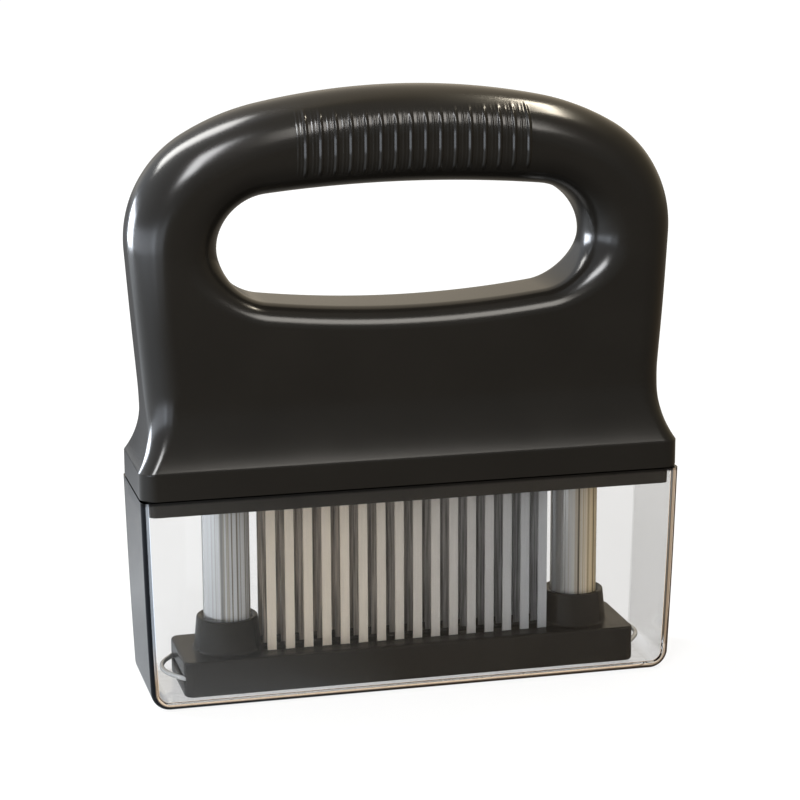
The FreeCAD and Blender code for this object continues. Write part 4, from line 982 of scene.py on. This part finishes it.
    def cut_screw_recesses(self, bm: bmesh.types.BMesh) -> None:
        """Sinks the six screw recesses into the rear shell, which is closed while it is cut.

        Args:
            bm: The rear shell's outer faces.
        """
        corners = [min(bm.verts, key=lambda v: (v.co - Vector((x, 0, self.foot))).length)
                   for x in (-self.width / 2, self.width / 2)]
        bm.edges.new(corners)
        for axis, level in (("y", 0.0), ("z", self.foot)):
            self.fill(bm, axis, level)
        radius, start = self.screw_recess
        shell = to_object("recessed", bm.copy(), self.finish)
        tool = bmesh.new()
        for x, z in self.screw_places:
            for side in Side:
                middle = Matrix.Translation((side.value * x, start + self.depth / 2, z))
                turned = middle @ Matrix.Rotation(math.pi / 2, 4, "X")
                bmesh.ops.create_cone(tool, cap_ends=True, segments=self.screw_steps, radius1=radius,
                                      radius2=radius, depth=self.depth, matrix=turned)
        carve(shell, to_object("recesses", tool, self.finish))
        bm.clear()
        bm.from_mesh(shell.data)
        bmesh.ops.scale(bm, vec=(1 / MM, 1 / MM, 1 / MM), verts=bm.verts)
        discard(shell)
        caps = [face for face in bm.faces if all(abs(v.co.y) < FLUSH for v in face.verts)
                or all(abs(v.co.z - self.foot) < FLUSH for v in face.verts)]
        bmesh.ops.delete(bm, geom=caps, context="FACES")

    def bar_section(self, x: float, share: float) -> tuple[Vector, Vector]:
        """Point and outward direction on the top bar's front, from its underside to its crown.

        Args:
            x: Where along the bar.
            share: 0 low on the bar, 1 near its crown.

        Returns:
            Surface point and outward direction.
        """
        low, high = self.rib_span
        z = low + (high - low) * share
        crown_z = self.top - self.crown[0] + math.sqrt(self.crown[0] ** 2 - x * x)
        under_z = self.opening_top - self.opening_arcs[0] + math.sqrt(self.opening_arcs[0] ** 2 - x * x)
        half = self.slab_depth / 2
        drop, turn = 0.0, 0.0
        upper_r, lower_r = self.crown_round, self.opening_round[2]
        if z > crown_z - upper_r:
            turn = math.asin(min((z - crown_z + upper_r) / upper_r, 1.0))
            drop = upper_r * (1 - math.cos(turn))
        elif z < under_z + lower_r:
            turn = -math.asin(min((under_z + lower_r - z) / lower_r, 1.0))
            drop = lower_r * (1 - math.cos(turn))
        return Vector((x, drop - half, z)), Vector((0, -math.cos(turn), math.sin(turn)))

    def ribs(self, name: str, front: bool) -> bpy.types.Object:
        """Builds the row of soft ribs, each with two lower ridges beside it, on one side of the top bar.

        Args:
            name: Name of the piece.
            front: True for the front.

        Returns:
            All ribs of that side as one object.
        """
        bm = bmesh.new()
        for index in range(self.rib_count):
            middle = self.rib_shift + (index - (self.rib_count - 1) / 2) * self.rib_pitch

            def rib(u: float, v: float, middle: float = middle) -> Vector:
                """Place on one rib.

                Args:
                    u: 0 to 1 along the bar, across the rib.
                    v: 0 to 1 from low on the bar to its crown.
                    middle: Where along the bar the rib lies.

                Returns:
                    The point.
                """
                across = 2 * u - 1
                spot, out = self.bar_section(middle + across * self.rib_pitch / 2, v)
                crest = self.rib_base
                for centre, half, height in self.rib_crests:
                    away = min(abs(across - centre) / half, 1.0)
                    crest += height * math.cos(away * math.pi / 2) ** 2
                crest *= min(smooth_step(v / self.rib_ends[0]), smooth_step((1 - v) / self.rib_ends[1]))
                return spot + out * (self.rib_rise * crest - self.rib_sink)

            patch(bm, *self.rib_mesh, rib)
        if not front:
            mirror_depth(bm)
        piece = to_object(name, bm, self.finish, smooth_deg=80.0)
        self.face_outwards(piece, -1.0 if front else 1.0)
        return piece

    @staticmethod
    def face_outwards(piece: bpy.types.Object, sign: float) -> None:
        """Turns open patches so that their faces look away from the bar.

        Args:
            piece: Object made of open patches.
            sign: Side of the bar that the faces look to.
        """
        bm = bmesh.new()
        bm.from_mesh(piece.data)
        wrong = [face for face in bm.faces if face.normal.y * sign < 0]
        bmesh.ops.reverse_faces(bm, faces=wrong)
        bm.to_mesh(piece.data)
        bm.free()

    def build(self) -> list[bpy.types.Object]:
        """Builds both shells and both rows of ribs.

        Returns:
            The pieces.
        """
        front = self.half_shell("grip_shell_front", True)
        rear = self.half_shell("grip_shell_rear", False)
        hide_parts("handle_front_shell")
        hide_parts("handle_rear_shell")
        pieces = [front, rear, self.ribs("grip_ribs_front", True), self.ribs("grip_ribs_rear", False)]
        for piece in pieces:
            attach(piece, "handle")
        return pieces


# ---------------------------------------------------------------- guard plate
@dataclass
class GuardPlate:
    """The plate that rests on the food, with a tapered collar for each post.

    A collar is its radius at the foot and at the top and its height, and fillet and mouth round its foot
    and its bore by pairs of outward and upright offsets. A slot is a length and a width, and a clip
    pocket a length, a width and a height.
    """

    finish: bpy.types.Material
    length: float = 127.7
    depth: float = 25.8
    bottom: float = 2.2
    height: float = 10.0
    corner: float = 2.6
    edge: float = 0.7
    post_x: float = 49.8
    collar: tuple[float, float, float] = (9.3, 8.4, 9.0)
    bore: float = 6.55
    bore_floor: float = 3.4
    slot: tuple[float, float] = (80.35, 1.3)
    row_spacing: float = 6.5
    clip_level: float = 7.2
    clip_pocket: tuple[float, float, float] = (7.2, 23.4, 1.6)
    fillet: tuple[tuple[float, float], ...] = ((0.75, 0.0), (0.45, 0.08), (0.18, 0.28))
    fillet_rise: float = 0.7
    lip: float = 0.5
    lip_lean: float = 0.4
    lip_arc: tuple[float, float] = (6.0, 90.0)
    lip_steps: int = 6
    mouth: tuple[tuple[float, float], ...] = ((0.8, 0.0), (0.08, 0.72), (0.0, 0.9))
    collar_wall: float = 1.0
    bore_room: float = 0.5
    bore_steps: int = 96
    corner_steps: int = 8
    edge_steps: int = 4

    def collar_profile(self) -> list[tuple[float, float]]:
        """Outline of a collar as radius and height above the plate's top.

        Returns:
            Closed profile.
        """
        foot, top, height = self.collar
        slant = (foot - top) / height
        fillet = [(foot + out, rise) for out, rise in self.fillet]
        side = [(foot - slant * self.fillet_rise, self.fillet_rise)]
        lip_centre = (top - self.lip + slant * self.lip_lean, height - self.lip)
        lip = arc_points(lip_centre, self.lip, *self.lip_arc, self.lip_steps)
        mouth = [(self.bore + out, height - drop) for out, drop in self.mouth]
        sunk = self.bore_floor - self.bottom - self.height
        return fillet + side + lip + mouth + [(self.bore, sunk), (foot - self.collar_wall, sunk)]

    def cutters(self) -> list[bpy.types.Object]:
        """Shapes of what the plate lacks.

        Returns:
            A slot for each row of blades, then a bore and a clip recess for each side.
        """
        half_x, top = self.length / 2, self.bottom + self.height
        shapes = []
        for row in (-1, 0, 1):
            bm = bmesh.new()
            length, width = self.slot
            low, high = row * self.row_spacing - width / 2, row * self.row_spacing + width / 2
            box(bm, (-length / 2, low, self.bottom - 1), (length / 2, high, top + 1))
            shapes.append(bm)
        for side in Side:
            bm = bmesh.new()
            middle = Matrix.Translation((side.value * self.post_x, 0, self.bore_floor + self.height))
            radius = self.bore + self.bore_room
            bmesh.ops.create_cone(bm, cap_ends=True, segments=self.bore_steps, radius1=radius, radius2=radius,
                                  depth=2 * self.height, matrix=middle)
            shapes.append(bm)
            length, width, room = self.clip_pocket
            low, high = sorted((side.value * (half_x - length), side.value * (half_x + 1)))
            bm = bmesh.new()
            box(bm, (low, -width / 2, self.clip_level - room / 2),
                (high, width / 2, self.clip_level + room / 2))
            shapes.append(bm)
        return [to_object("cutter", bm, self.finish) for bm in shapes]

    def build(self) -> list[bpy.types.Object]:
        """Builds the plate with its collars, slots and clip recesses.

        Returns:
            The pieces.
        """
        half_x, half_y, top = self.length / 2, self.depth / 2, self.bottom + self.height
        bm = bmesh.new()
        box(bm, (-half_x, -half_y, self.bottom), (half_x, half_y, top))
        upright = [e for e in bm.edges if abs(e.verts[0].co.z - e.verts[1].co.z) > 1]
        bevel(bm, upright, self.corner, self.corner_steps)
        rims = [e for e in bm.edges if abs(e.verts[0].co.z - e.verts[1].co.z) < FLUSH]
        bevel(bm, rims, self.edge, self.edge_steps)
        plate = to_object("guard_press_plate", bm, self.finish)
        for cutter in self.cutters():
            carve(plate, cutter)
        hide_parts("guard_plate")
        pieces = [plate]
        for side in Side:
            bm = bmesh.new()
            spun(bm, self.collar_profile(), Vector((side.value * self.post_x, 0, top)))
            pieces.append(to_object(f"guard_collar_{side}", bm, self.finish, smooth_deg=50.0))
        for piece in pieces:
            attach(piece, "guard")
        return pieces


# ---------------------------------------------------------------- posts
@dataclass
class GuidePosts:
    """Two polished tubes that the guard plate rides on."""

    finish: bpy.types.Material
    post_x: float = 49.8
    radius: float = 6.5
    bore: float = 5.7
    bottom: float = 3.4
    top: float = 75.3
    edge: float = 0.2
    steps: int = 128

    def build(self) -> list[bpy.types.Object]:
        """Builds both tubes.

        Returns:
            The pieces.
        """
        pieces = []
        profile = [(self.bore, self.bottom), (self.radius, self.bottom), (self.radius, self.top - self.edge),
                   (self.radius - self.edge, self.top), (self.bore, self.top)]
        for side in Side:
            bm = bmesh.new()
            spun(bm, profile, Vector((side.value * self.post_x, 0, 0)), self.steps)
            piece = to_object(f"post_tube_{side}", bm, self.finish)
            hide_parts(f"guide_post_{side}")
            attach(piece, "guard")
            pieces.append(piece)
        return pieces


# ---------------------------------------------------------------- clear cover
@dataclass
class ClearCover:
    """The clear box that the blades stand in.

    It narrows downwards by the taper along and across the tool, and its ends bow in near the foot.
    """

    finish: bpy.types.Material
    length: float = 150.0
    depth: float = 35.0
    height: float = 58.5
    taper: tuple[float, float] = (2.8, 2.2)
    wall: float = 1.9
    end_radius: float = 5.0
    edge_radius: float = 2.2
    bow: float = 0.45
    bow_height: float = 42.0
    bow_steps: int = 9
    end_steps: int = 14
    edge_steps: int = 12
    least_edge: float = 0.35

    def at_mouth(self, item: bmesh.types.BMEdge | bmesh.types.BMFace) -> bool:
        """Whether an edge or a face lies in the plane of the open top."""
        return all(vert.co.z > self.height - FLUSH for vert in item.verts)

    def shell(self, bm: bmesh.types.BMesh, inset: float) -> list:
        """Adds one skin of the box, open at the top.

        Args:
            bm: Mesh to add to.
            inset: Distance inside the outer skin.

        Returns:
            The edges of its open rim.
        """
        part = bmesh.new()
        halves = []
        for size, taper in zip((self.length, self.depth), self.taper):
            slope = taper / 2 / self.height
            upper = size / 2 - inset * math.sqrt(1 + slope ** 2)
            halves.append((upper - slope * (self.height - inset), upper))
        verts = bmesh.ops.create_cube(part, size=1.0)["verts"]
        for vert in verts:
            high = vert.co.z > 0
            for axis in (0, 1):
                vert.co[axis] = math.copysign(halves[axis][1 if high else 0], vert.co[axis])
            vert.co.z = self.height if high else inset
        ends = [e for e in part.edges if all(v.co.z < inset + FLUSH for v in e.verts)
                and abs(e.verts[0].co.x - e.verts[1].co.x) < FLUSH]
        bevel(part, ends, self.end_radius - inset, self.end_steps)
        chains = [e for e in part.edges if abs(e.verts[0].co.y - e.verts[1].co.y) < self.depth / 2 - inset
                  and not self.at_mouth(e)]
        bevel(part, chains, max(self.edge_radius - inset, self.least_edge), self.edge_steps)
        for step in range(2, self.bow_steps):
            level = self.bow_height * step / self.bow_steps
            bmesh.ops.bisect_plane(part, geom=part.verts[:] + part.edges[:] + part.faces[:],
                                   plane_co=(0, 0, level), plane_no=(0, 0, 1))
        for vert in part.verts:
            low = max(0.0, 1 - vert.co.z / self.bow_height)
            vert.co.x -= math.copysign(self.bow * low ** 2, vert.co.x)
        lids = [face for face in part.faces if self.at_mouth(face)]
        bmesh.ops.delete(part, geom=lids, context="FACES_ONLY")
        if inset > 0:
            bmesh.ops.reverse_faces(part, faces=part.faces)
        mesh = bpy.data.meshes.new("skin")
        part.to_mesh(mesh)
        part.free()
        known = set(bm.edges)
        bm.from_mesh(mesh)
        bpy.data.meshes.remove(mesh)
        return [edge for edge in bm.edges if edge not in known and self.at_mouth(edge)]

    def build(self) -> list[bpy.types.Object]:
        """Builds the cover with an even wall.

        Returns:
            The pieces.
        """
        bm = bmesh.new()
        outer = self.shell(bm, 0.0)
        inner = self.shell(bm, self.wall)
        bmesh.ops.bridge_loops(bm, edges=outer + inner)
        piece = to_object("storage_cover", bm, self.finish, smooth_deg=30.0)
        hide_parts("clear_cover")
        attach(piece, "cover")
        return [piece]


# ---------------------------------------------------------------- coil springs
@dataclass
class CoilSprings:
    """The coil springs inside the posts."""

    finish: bpy.types.Material
    wire: float = 1.0
    turns: int = 14
    turn_steps: int = 24
    wire_steps: int = 10
    stroke: float = 28.0
    joint: str = "guard_slide"

    def coil(self, side: Side) -> bpy.types.Object:
        """Winds one coil over the height of the CAD spring and attaches it to the guard.

        Args:
            side: Side of the tool.

        Returns:
            The piece.
        """
        low, high = (Vector(corner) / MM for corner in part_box(f"spring_{side}"))
        middle = (low + high) / 2
        radius = (high.x - low.x - self.wire) / 2
        start = Vector((middle.x + radius, middle.y, low.z + self.wire / 2))
        steps = self.turns * self.turn_steps
        bm = bmesh.new()
        bmesh.ops.create_circle(bm, segments=self.wire_steps, radius=self.wire / 2,
                                matrix=Matrix.Translation(start) @ Matrix.Rotation(math.pi / 2, 4, "X"))
        bmesh.ops.spin(bm, geom=bm.verts[:] + bm.edges[:], cent=(middle.x, middle.y, start.z), axis=(0, 0, 1),
                       dvec=(0, 0, (high.z - low.z - self.wire) / steps), angle=math.tau * self.turns,
                       steps=steps, use_merge=False)
        bmesh.ops.holes_fill(bm, edges=bm.edges, sides=self.wire_steps)
        piece = to_object(f"coil_spring_{side}", bm, self.finish)
        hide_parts(f"spring_{side}")
        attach(piece, "guard")
        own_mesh(piece)
        return piece

    def build(self) -> list[bpy.types.Object]:
        """Builds both coils."""
        return [self.coil(side) for side in Side]


# ---------------------------------------------------------------- carried-over parts
@dataclass
class CarriedParts:
    """CAD parts whose shape stays as it is and that only take a finish."""

    finishes: dict[str, bpy.types.Material]

    def dress(self, nodes: dict[str, bpy.types.Object]) -> int:
        """Gives each part its finish.

        Args:
            nodes: CAD objects by name.

        Returns:
            How many parts were dressed.
        """
        for name, material in self.finishes.items():
            obj = nodes[name]
            if not obj.data.materials:
                obj.data.materials.append(material)
            for slot in obj.material_slots:
                slot.link = "OBJECT"
                slot.material = material
        return len(self.finishes)


# ---------------------------------------------------------------- stage
@dataclass
class Stage:
    """Floor, air, lamps and camera.

    Tones are what gloss mirrors, by azimuth in degrees, 0 in front and negative to the left. Each pair of
    the floor is its value near the tool and far from it, or seen directly and by way of gloss. Near the
    tool the floor carries painted shade: its glow is a little darker and, seen by way of gloss, much darker.
    """

    camera_place: tuple[float, float, float] = (-0.1665, -0.6619, 0.2368)
    lens_mm: float = 114.84
    turn_deg: float = -14.09
    tilt_deg: float = 13.07
    roll_deg: float = -0.24
    air_tones: tuple[tuple[float, str], ...] = (
        (-180, "#c4beb4"), (-140, "#d4dde8"), (-100, "#e8f0f8"), (-50, "#b8bcc2"), (0, "#8c8c8a"),
        (60, "#6c6862"), (105, "#94886e"), (155, "#dccdb4"), (180, "#c4beb4"))
    floor_tones: tuple[tuple[float, str], ...] = (
        (-180, "#6c6a66"), (-160, "#6a6c70"), (-138, "#f0f6fc"), (-70, "#f0f6fc"), (-30, "#a8a8a4"),
        (0, "#78726a"), (60, "#6c665e"), (95, "#7a6a54"), (180, "#8c8880"))
    air_strength: float = 0.35
    floor_glow: tuple[str, str] = ("#ededed", "#ffffff")
    floor_size: float = 20000.0
    floor_paint: tuple[str, str] = ("#606060", "#1c1c1c")
    glow_reach: tuple[float, float] = (200.0, 700.0)
    near_reach: tuple[float, float] = (100.0, 220.0)
    near_shade: float = 0.55
    aim_height: float = 0.11

    def build(self) -> None:
        """Sets up the whole stage."""
        self.world()
        self.floor()
        self.lamps()
        self.camera()
        bpy.context.scene.view_settings.view_transform = "Standard"

    def world(self) -> None:
        """White air, mirrored as a duller room that is cool on the left and warm on the right."""
        graph = Graph(bpy.data.worlds.new("studio_air"))
        bpy.context.scene.world = graph.owner
        direction = graph.add("TexCoord").outputs["Generated"]
        seen, colour, _ = graph.background(direction, self.air_tones, srgb(WHITE))
        sky = graph.add("Background", {"Strength": 1.0, "Color": colour})
        air = graph.add("Background", {"Strength": self.air_strength, "Color": srgb(WHITE)})
        mix = graph.add("MixShader", {0: seen, 1: air, 2: sky})
        graph.add("OutputWorld", {"Surface": mix})

    def floor(self) -> None:
        """A white floor that still takes the tool's shadow, with painted shade around the tool."""
        bm = bmesh.new()
        bmesh.ops.create_grid(bm, x_segments=1, y_segments=1, size=self.floor_size)
        graph = Graph.of_material("studio_floor_painted")
        place = graph.add("TexCoord").outputs["Object"]
        away = graph.add("VectorMath", {0: place}, operation="LENGTH")
        share = graph.zone(away, self.glow_reach)
        near_glow, far_glow = (srgb(glow) for glow in self.floor_glow)
        # Painted shade: the glow is a little darker near the tool.
        bright = graph.add("Mix", {0: share, 6: near_glow, 7: far_glow}, data_type="RGBA")
        seen, colour, met_gloss = graph.background(place, self.floor_tones, bright)
        # Painted shade: the floor seen by way of gloss darkens near the tool.
        near = graph.zone(away, self.near_reach, (self.near_shade, 1.0))
        direct = graph.add("Math", {0: 1.0, 1: met_gloss}, operation="SUBTRACT")
        shade = graph.add("Math", {0: near, 1: direct}, operation="MAXIMUM")
        strength = graph.add("Math", {0: seen, 1: shade}, operation="MULTIPLY")
        paint, mirrored = (srgb(tone) for tone in self.floor_paint)
        paint = graph.add("Mix", {0: met_gloss, 6: paint, 7: mirrored}, data_type="RGBA")
        material = graph.finish({"Base Color": paint, "Roughness": 0.7, "Specular IOR Level": 0.0,
                                 "Emission Color": colour, "Emission Strength": strength})
        to_object("studio_floor", bm, material)

    def lamps(self) -> None:
        """Two cool windows behind on the left, soft boxes overhead and two dim panels low on the left."""
        self.lamp("window_low_left", -126, (0.07, 0.19), 0.42, 0.20, 2.1, "#eaf1fb")
        self.lamp("window_high_left", -127, (0.62, 1.00), 0.50, 0.24, 10.0, "#f6f5f2")
        self.lamp("box_top_left", -30, (0.57, 0.90), 0.75, 0.22, 7.0, "#f6f7f8")
        self.lamp("box_top_right", 98, (0.96, 1.0), 0.53, 0.50, 6.0, "#fff4de")
        self.lamp("panel_low_left", -76, (0.06, 0.16), 0.42, 0.50, 0.55, "#e6eefa")
        self.lamp("panel_low_soft", -40, (0.06, 0.15), 0.42, 0.22, 0.12, "#e6eefa")
        self.lamp("box_front", 18, (0.56, 0.86), 0.80, 0.40, 3.9, "#fffaf2")

    def lamp(self, name: str, azimuth_deg: float, rise: tuple[float, float], away: float, width: float,
             power: float, colour: str) -> None:
        """Adds one rectangular lamp that looks at the tool and isn't seen itself.

        Args:
            name: Name of the lamp.
            azimuth_deg: Its direction from the tool, 0 in front and negative to the left.
            rise: Heights of its lower and upper edge above the floor.
            away: Level distance from the tool.
            width: Its width.
            power: Watts.
            colour: Its light as sRGB hex.
        """
        turn = math.radians(azimuth_deg)
        place = Vector((math.sin(turn) * away, -math.cos(turn) * away, sum(rise) / 2))
        back = place - Vector((0, 0, self.aim_height))
        data = bpy.data.lights.new(name, "AREA")
        data.shape = "RECTANGLE"
        data.size, data.size_y = width, (rise[1] - rise[0]) * back.length / away
        data.energy = power
        data.color = srgb(colour)[:3]
        lamp = bpy.data.objects.new(name, data)
        lamp.location = place
        lamp.rotation_euler = back.to_track_quat("Z", "Y").to_euler()
        lamp.visible_camera = False
        lamp.visible_transmission = False
        bpy.context.scene.collection.objects.link(lamp)

    def camera(self) -> None:
        """Places the camera in front, a little to the left and above."""
        turn, tilt, roll = (math.radians(angle) for angle in (self.turn_deg, self.tilt_deg, self.roll_deg))
        back = Vector((math.sin(turn) * math.cos(tilt), -math.cos(turn) * math.cos(tilt), math.sin(tilt)))
        right = Vector((math.cos(turn), math.sin(turn), 0))
        up = back.cross(right)
        right, up = right * math.cos(roll) + up * math.sin(roll), up * math.cos(roll) - right * math.sin(roll)
        data = bpy.data.cameras.new("view")
        data.lens = self.lens_mm
        data.sensor_width = 36.0
        data.clip_start = 0.01
        camera = bpy.data.objects.new("view", data)
        turned = Matrix((right, up, back)).transposed().to_4x4()
        camera.matrix_world = Matrix.Translation(self.camera_place) @ turned
        bpy.context.scene.collection.objects.link(camera)
        bpy.context.scene.camera = camera


def main() -> None:
    """Builds the tool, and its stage."""
    logging.basicConfig(level=logging.INFO, format="%(message)s")
    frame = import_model()
    finishes = Finishes()
    handle, guard = finishes.handle.material(), finishes.guard.material()
    bearing = finishes.bearing.material()
    blade, blade_inner = finishes.blade.material(), finishes.blade_inner.material()
    wire, turned, screw = finishes.wire.material(), finishes.turned.material(), finishes.screw.material()
    Stage().build()
    parts = [Handle(handle), GuardPlate(guard), GuidePosts(finishes.tube.material()),
             ClearCover(finishes.clear.material())]
    for part in parts:
        pieces = part.build()
        for piece in pieces:
            level_normals(piece)
        LOG.info("%s: %s", type(part).__name__, ", ".join(piece.name for piece in pieces))
    table = {"base_plate": guard, "blade_holder": guard, "blade_clamp_plate": turned}
    # The rows behind take the strip with painted shade.
    for row, finish in (("front", blade), ("middle", blade_inner), ("rear", blade_inner)):
        table[f"blade_row_{row}"] = finish
    for side in Side:
        table.update({f"guide_bush_{side}": bearing, f"post_cap_{side}": bearing,
                      f"post_plug_{side}": bearing, f"retaining_clip_{side}": wire,
                      f"spring_rod_{side}": turned})
    for group in ("base_screws", "shell_screws", "clamp_screws"):
        table[group] = screw
    springs = CoilSprings(wire).build()
    LOG.info("CoilSprings: %s", ", ".join(piece.name for piece in springs))
    LOG.info("carried over: %d", CarriedParts(table).dress(frame["nodes"]))


if __name__ == "__main__":
    main()
